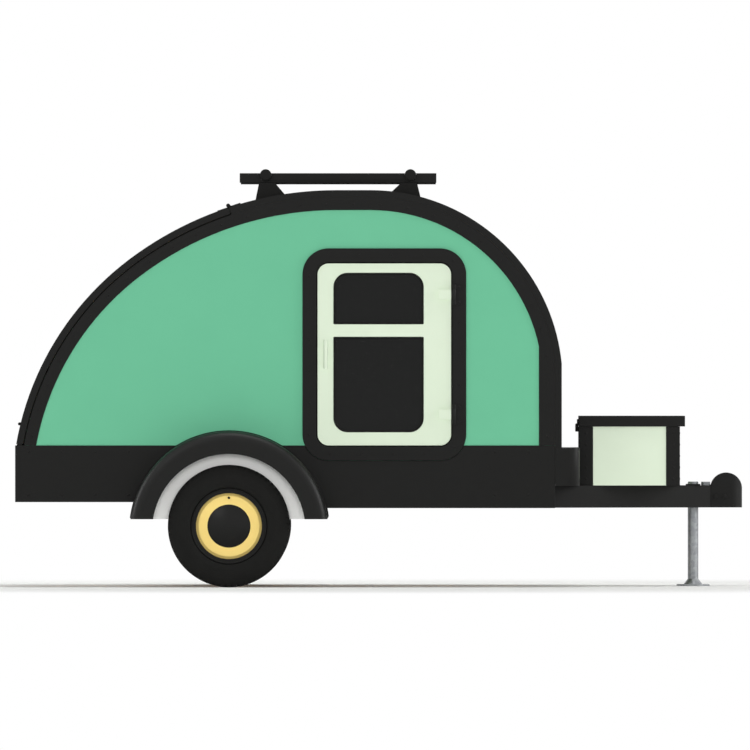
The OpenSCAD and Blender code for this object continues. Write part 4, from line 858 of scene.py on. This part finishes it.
# Door frames and hinges: bent aluminium angle in satin black round each doorway, screwed to the wall.
# A bulb seal runs round the stop behind the door, and two screws hold each hinge's fixed leaf.
DOOR_X0, DOOR_X1, DOOR_Z0, DOOR_Z1 = -279 * MM, 322 * MM, 637 * MM, 1456 * MM
DOOR_R, STOP_FACE_Y, LEAF_FACE_Y = 50 * MM, 663.2 * MM, 720.3 * MM
BULB_IN = 3 * MM
BULB_SECTION = np.array([[-4.5, 0], [4.5, 0], [4.2, 2.6], [2.6, 4.4], [0, 5.2], [-2.6, 4.4],
                         [-4.2, 2.6]]) * MM
FRAME_SCREW_OUT, FRAME_SCREW_STEP = 37 * MM, 140 * MM
LEAF_HALF, LEAF_CLEAR, LEAF_SCREW_IN, LEAF_SCREW_Z = 45 * MM, 15 * MM, 12 * MM, 34 * MM
dress(skin_black, "door_frame_right", "door_frame_left", "door_hinges")
soften(EDGE_ROUND, "door_frame_right", "door_frame_left")


def strip(name, path, section, y, side):
    """A closed section of (outward, proud) points carried round a closed path in (x, z): at each path point
    the outward direction is the path's central difference turned a quarter."""
    ahead = unit(np.roll(path, -1, axis=0) - np.roll(path, 1, axis=0))
    outward = np.stack([ahead[:, 1], -ahead[:, 0]], axis=-1)
    flat = path[:, None, :] + outward[:, None, :] * section[None, :, :1]
    proud = np.broadcast_to(y + side * section[None, :, 1], flat.shape[:2])
    points = np.stack([flat[..., 0], proud, flat[..., 1]], axis=-1)
    return put_mesh(name, points, [grid_faces(len(path), len(section), True, True)])


def door_ring(grow):
    """The door's outline, a rectangle with rounded corners, drawn outwards by grow."""
    return rounded_path(DOOR_X0 - grow, DOOR_Z0 - grow, DOOR_X1 + grow, DOOR_Z1 + grow, [DOOR_R + grow] * 4)


bulb_path = door_ring(-BULB_IN)
screw_ring = door_ring(FRAME_SCREW_OUT)
screw_ring = spaced(np.concatenate([screw_ring, screw_ring[:1]]), FRAME_SCREW_STEP)[:-1]
hinge_low, hinge_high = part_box("door_hinges")
hinge_z = (hinge_low.z + LEAF_HALF, hinge_high.z - LEAF_HALF)
on_leaf = [x > hinge_low.x and min(abs(z - mid) for mid in hinge_z) < LEAF_HALF + LEAF_CLEAR
           for x, z in screw_ring]
screw_ring = screw_ring[~np.array(on_leaf)]
leaf_screws = [(hinge_high.x - LEAF_SCREW_IN, mid + dz) for mid in hinge_z
               for dz in (-LEAF_SCREW_Z, LEAF_SCREW_Z)]
for side_name, side in SIDES:
    bulb = strip(f"door_bulb_seal_{side_name}", bulb_path, BULB_SECTION, side * STOP_FACE_Y, side)
    fit(bulb, epdm)
    places = [(x, side * frame_high.y, z) for x, z in screw_ring]
    places += [(x, side * LEAF_FACE_Y, z) for x, z in leaf_screws]
    put_heads(f"door_frame_screws_{side_name}", places, SCREW_HEIGHTS, SCREW_RADII)

# Doors: panels with cut-outs for two panes, enamelled cream, with moulded handles to match.
# The hinge knuckles ahead of the door's edge are painted black with the frame.
cream, door_cream = (coated(name, "#E1EED8", "#DDEBD4", roughness=0.44, specular=0.25)
                     for name in ("cream_enamel", "cream_door_enamel"))
tree = door_cream.node_tree
shader = tree.nodes["Principled BSDF"]
plain_cream = shader.inputs["Base Color"].links[0].from_socket
place = add_node(tree, "ShaderNodeTexCoord").outputs["Object"]
along = add_node(tree, "ShaderNodeSeparateXYZ", None, {0: place}).outputs["X"]
past_edge = add_node(tree, "ShaderNodeMath", {"operation": "GREATER_THAN", 1: DOOR_X1}, {0: along})
tint = add_node(tree, "ShaderNodeMix", {"data_type": "RGBA", MIX_TO: linear("#131312")},
                {MIX_SHARE: past_edge.outputs[0], MIX_FROM: plain_cream})
set_up(tree, shader, None, {"Base Color": tint.outputs[MIX_COLOUR]})
dress(door_cream, "door_right", "door_left")
soften(EDGE_ROUND, "door_right", "door_left")
dress(cream, "door_handle_right", "door_handle_left")

# Panes: smoked acrylic sheet, nearly black, bedded in the door from inside.
# Wiped acrylic is glossy, with faint dull smears.
smoke, tree, shader, place = start_material("smoked_acrylic")
smear_mm = 120
smear = add_node(tree, "ShaderNodeTexNoise", {"Scale": 1 / (smear_mm * MM), "Detail": 4.0}, {"Vector": place})
gloss = add_node(tree, "ShaderNodeMapRange", {"To Min": 0.04, "To Max": 0.14},
                 {"Value": smear.outputs["Fac"]})
set_up(tree, shader, {"Base Color": linear("#0C0D0C"), "IOR": 1.49, "Specular IOR Level": 0.2},
       {"Roughness": gloss.outputs[0]})
dress(smoke, "door_glass_right", "door_glass_left")

# Window rubbers: black extrusion pressed into the edge of each cut-out, lipped over the pane.
# The two panes share a bar, so the corners beside it are nearly square.
DOOR_FACE_Y = 704 * MM
PANE_X0, PANE_X1 = -207 * MM, 198 * MM
PANE_R, SQUARE_R = 63 * MM, 5 * MM
UPPER_Z0, UPPER_Z1 = 1183 * MM, 1413 * MM
LOWER_Z0, LOWER_Z1 = 697 * MM, 1125 * MM
RUBBER_SECTION = np.array([[-0.3, -14], [-0.3, 0.2], [0.8, 1.6], [-1.5, 2.6], [-5.5, 2.0], [-8.0, 0.0],
                           [-8.5, -3.0], [-7.0, -14]]) * MM
pane_paths = {
    "upper": rounded_path(PANE_X0, UPPER_Z0, PANE_X1, UPPER_Z1, (SQUARE_R, SQUARE_R, PANE_R, PANE_R)),
    "lower": rounded_path(PANE_X0, LOWER_Z0, PANE_X1, LOWER_Z1, (PANE_R, PANE_R, SQUARE_R, SQUARE_R)),
}
for side_name, side in SIDES:
    for pane_name, pane_path in pane_paths.items():
        window_rubber = strip(f"{pane_name}_window_rubber_{side_name}", pane_path, RUBBER_SECTION,
                              side * DOOR_FACE_Y, side)
        fit(window_rubber, epdm, f"door_panel_{side_name}")

# Roof rack: coated aluminium rails and round bars on moulded nylon feet.
# Black plugs, pressed in, close the bars' ends.
PLUG_HEIGHTS = np.array([-8, 0, 0, 2.0, 3.5]) * MM
PLUG_INSETS = np.array([4.5, 4.5, 0.5, 1.0, 5.0]) * MM
rack_nylon = coated("black_moulded_nylon", "#131312", "#181817", roughness=0.55, specular=0.15, peel_mm=3,
                    peel_depth_mm=0.08, wave_depth_mm=0.0)
dress(powder_black, "rack_rails", "rack_bars")
soften(EDGE_ROUND, "rack_rails")
dress(rack_nylon, "rack_feet")
bars_low, bars_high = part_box("rack_bars")
bar_r = (bars_high.z - bars_low.z) / 2
plug_places = [(x, side * bars_high.y, bars_low.z + bar_r)
               for x in (bars_low.x + bar_r, bars_high.x - bar_r) for side in (-1, 1)]
put_heads("rack_bar_plugs", plug_places, PLUG_HEIGHTS, bar_r - PLUG_INSETS, rack_nylon)

# Tongue box: folded aluminium, enamelled cream, with black corner angles, lid and hinge.
# Flat rivets run up the middle of each angle's legs, on the sides and the front.
ANGLE_MIDDLE, BOX_RIVET_END, BOX_RIVET_COUNT = 31 * MM, 30 * MM, 5
dress(cream, "tongue_box")
dress(skin_black, "box_corners", "box_lid")
soften(EDGE_ROUND, "tongue_box", "box_corners", "box_lid")
dress(powder_black, "box_hinge", "lid_hinge")
corners_low, corners_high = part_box("box_corners")
rivet_z = np.linspace(corners_low.z + BOX_RIVET_END, corners_high.z - BOX_RIVET_END, BOX_RIVET_COUNT)
side_rivets = [(x, side * corners_high.y, z) for z in rivet_z for side in (-1, 1)
               for x in (corners_low.x + ANGLE_MIDDLE, corners_high.x - ANGLE_MIDDLE)]
front_rivets = [(corners_high.x, side * (corners_high.y - ANGLE_MIDDLE), z)
                for z in rivet_z for side in (-1, 1)]
box_normals = [*sideways(side_rivets), *[(1, 0, 0)] * len(front_rivets)]
put_heads("box_rivets", side_rivets + front_rivets, RIVET_HEIGHTS / 2, RIVET_RADII, normals=box_normals)
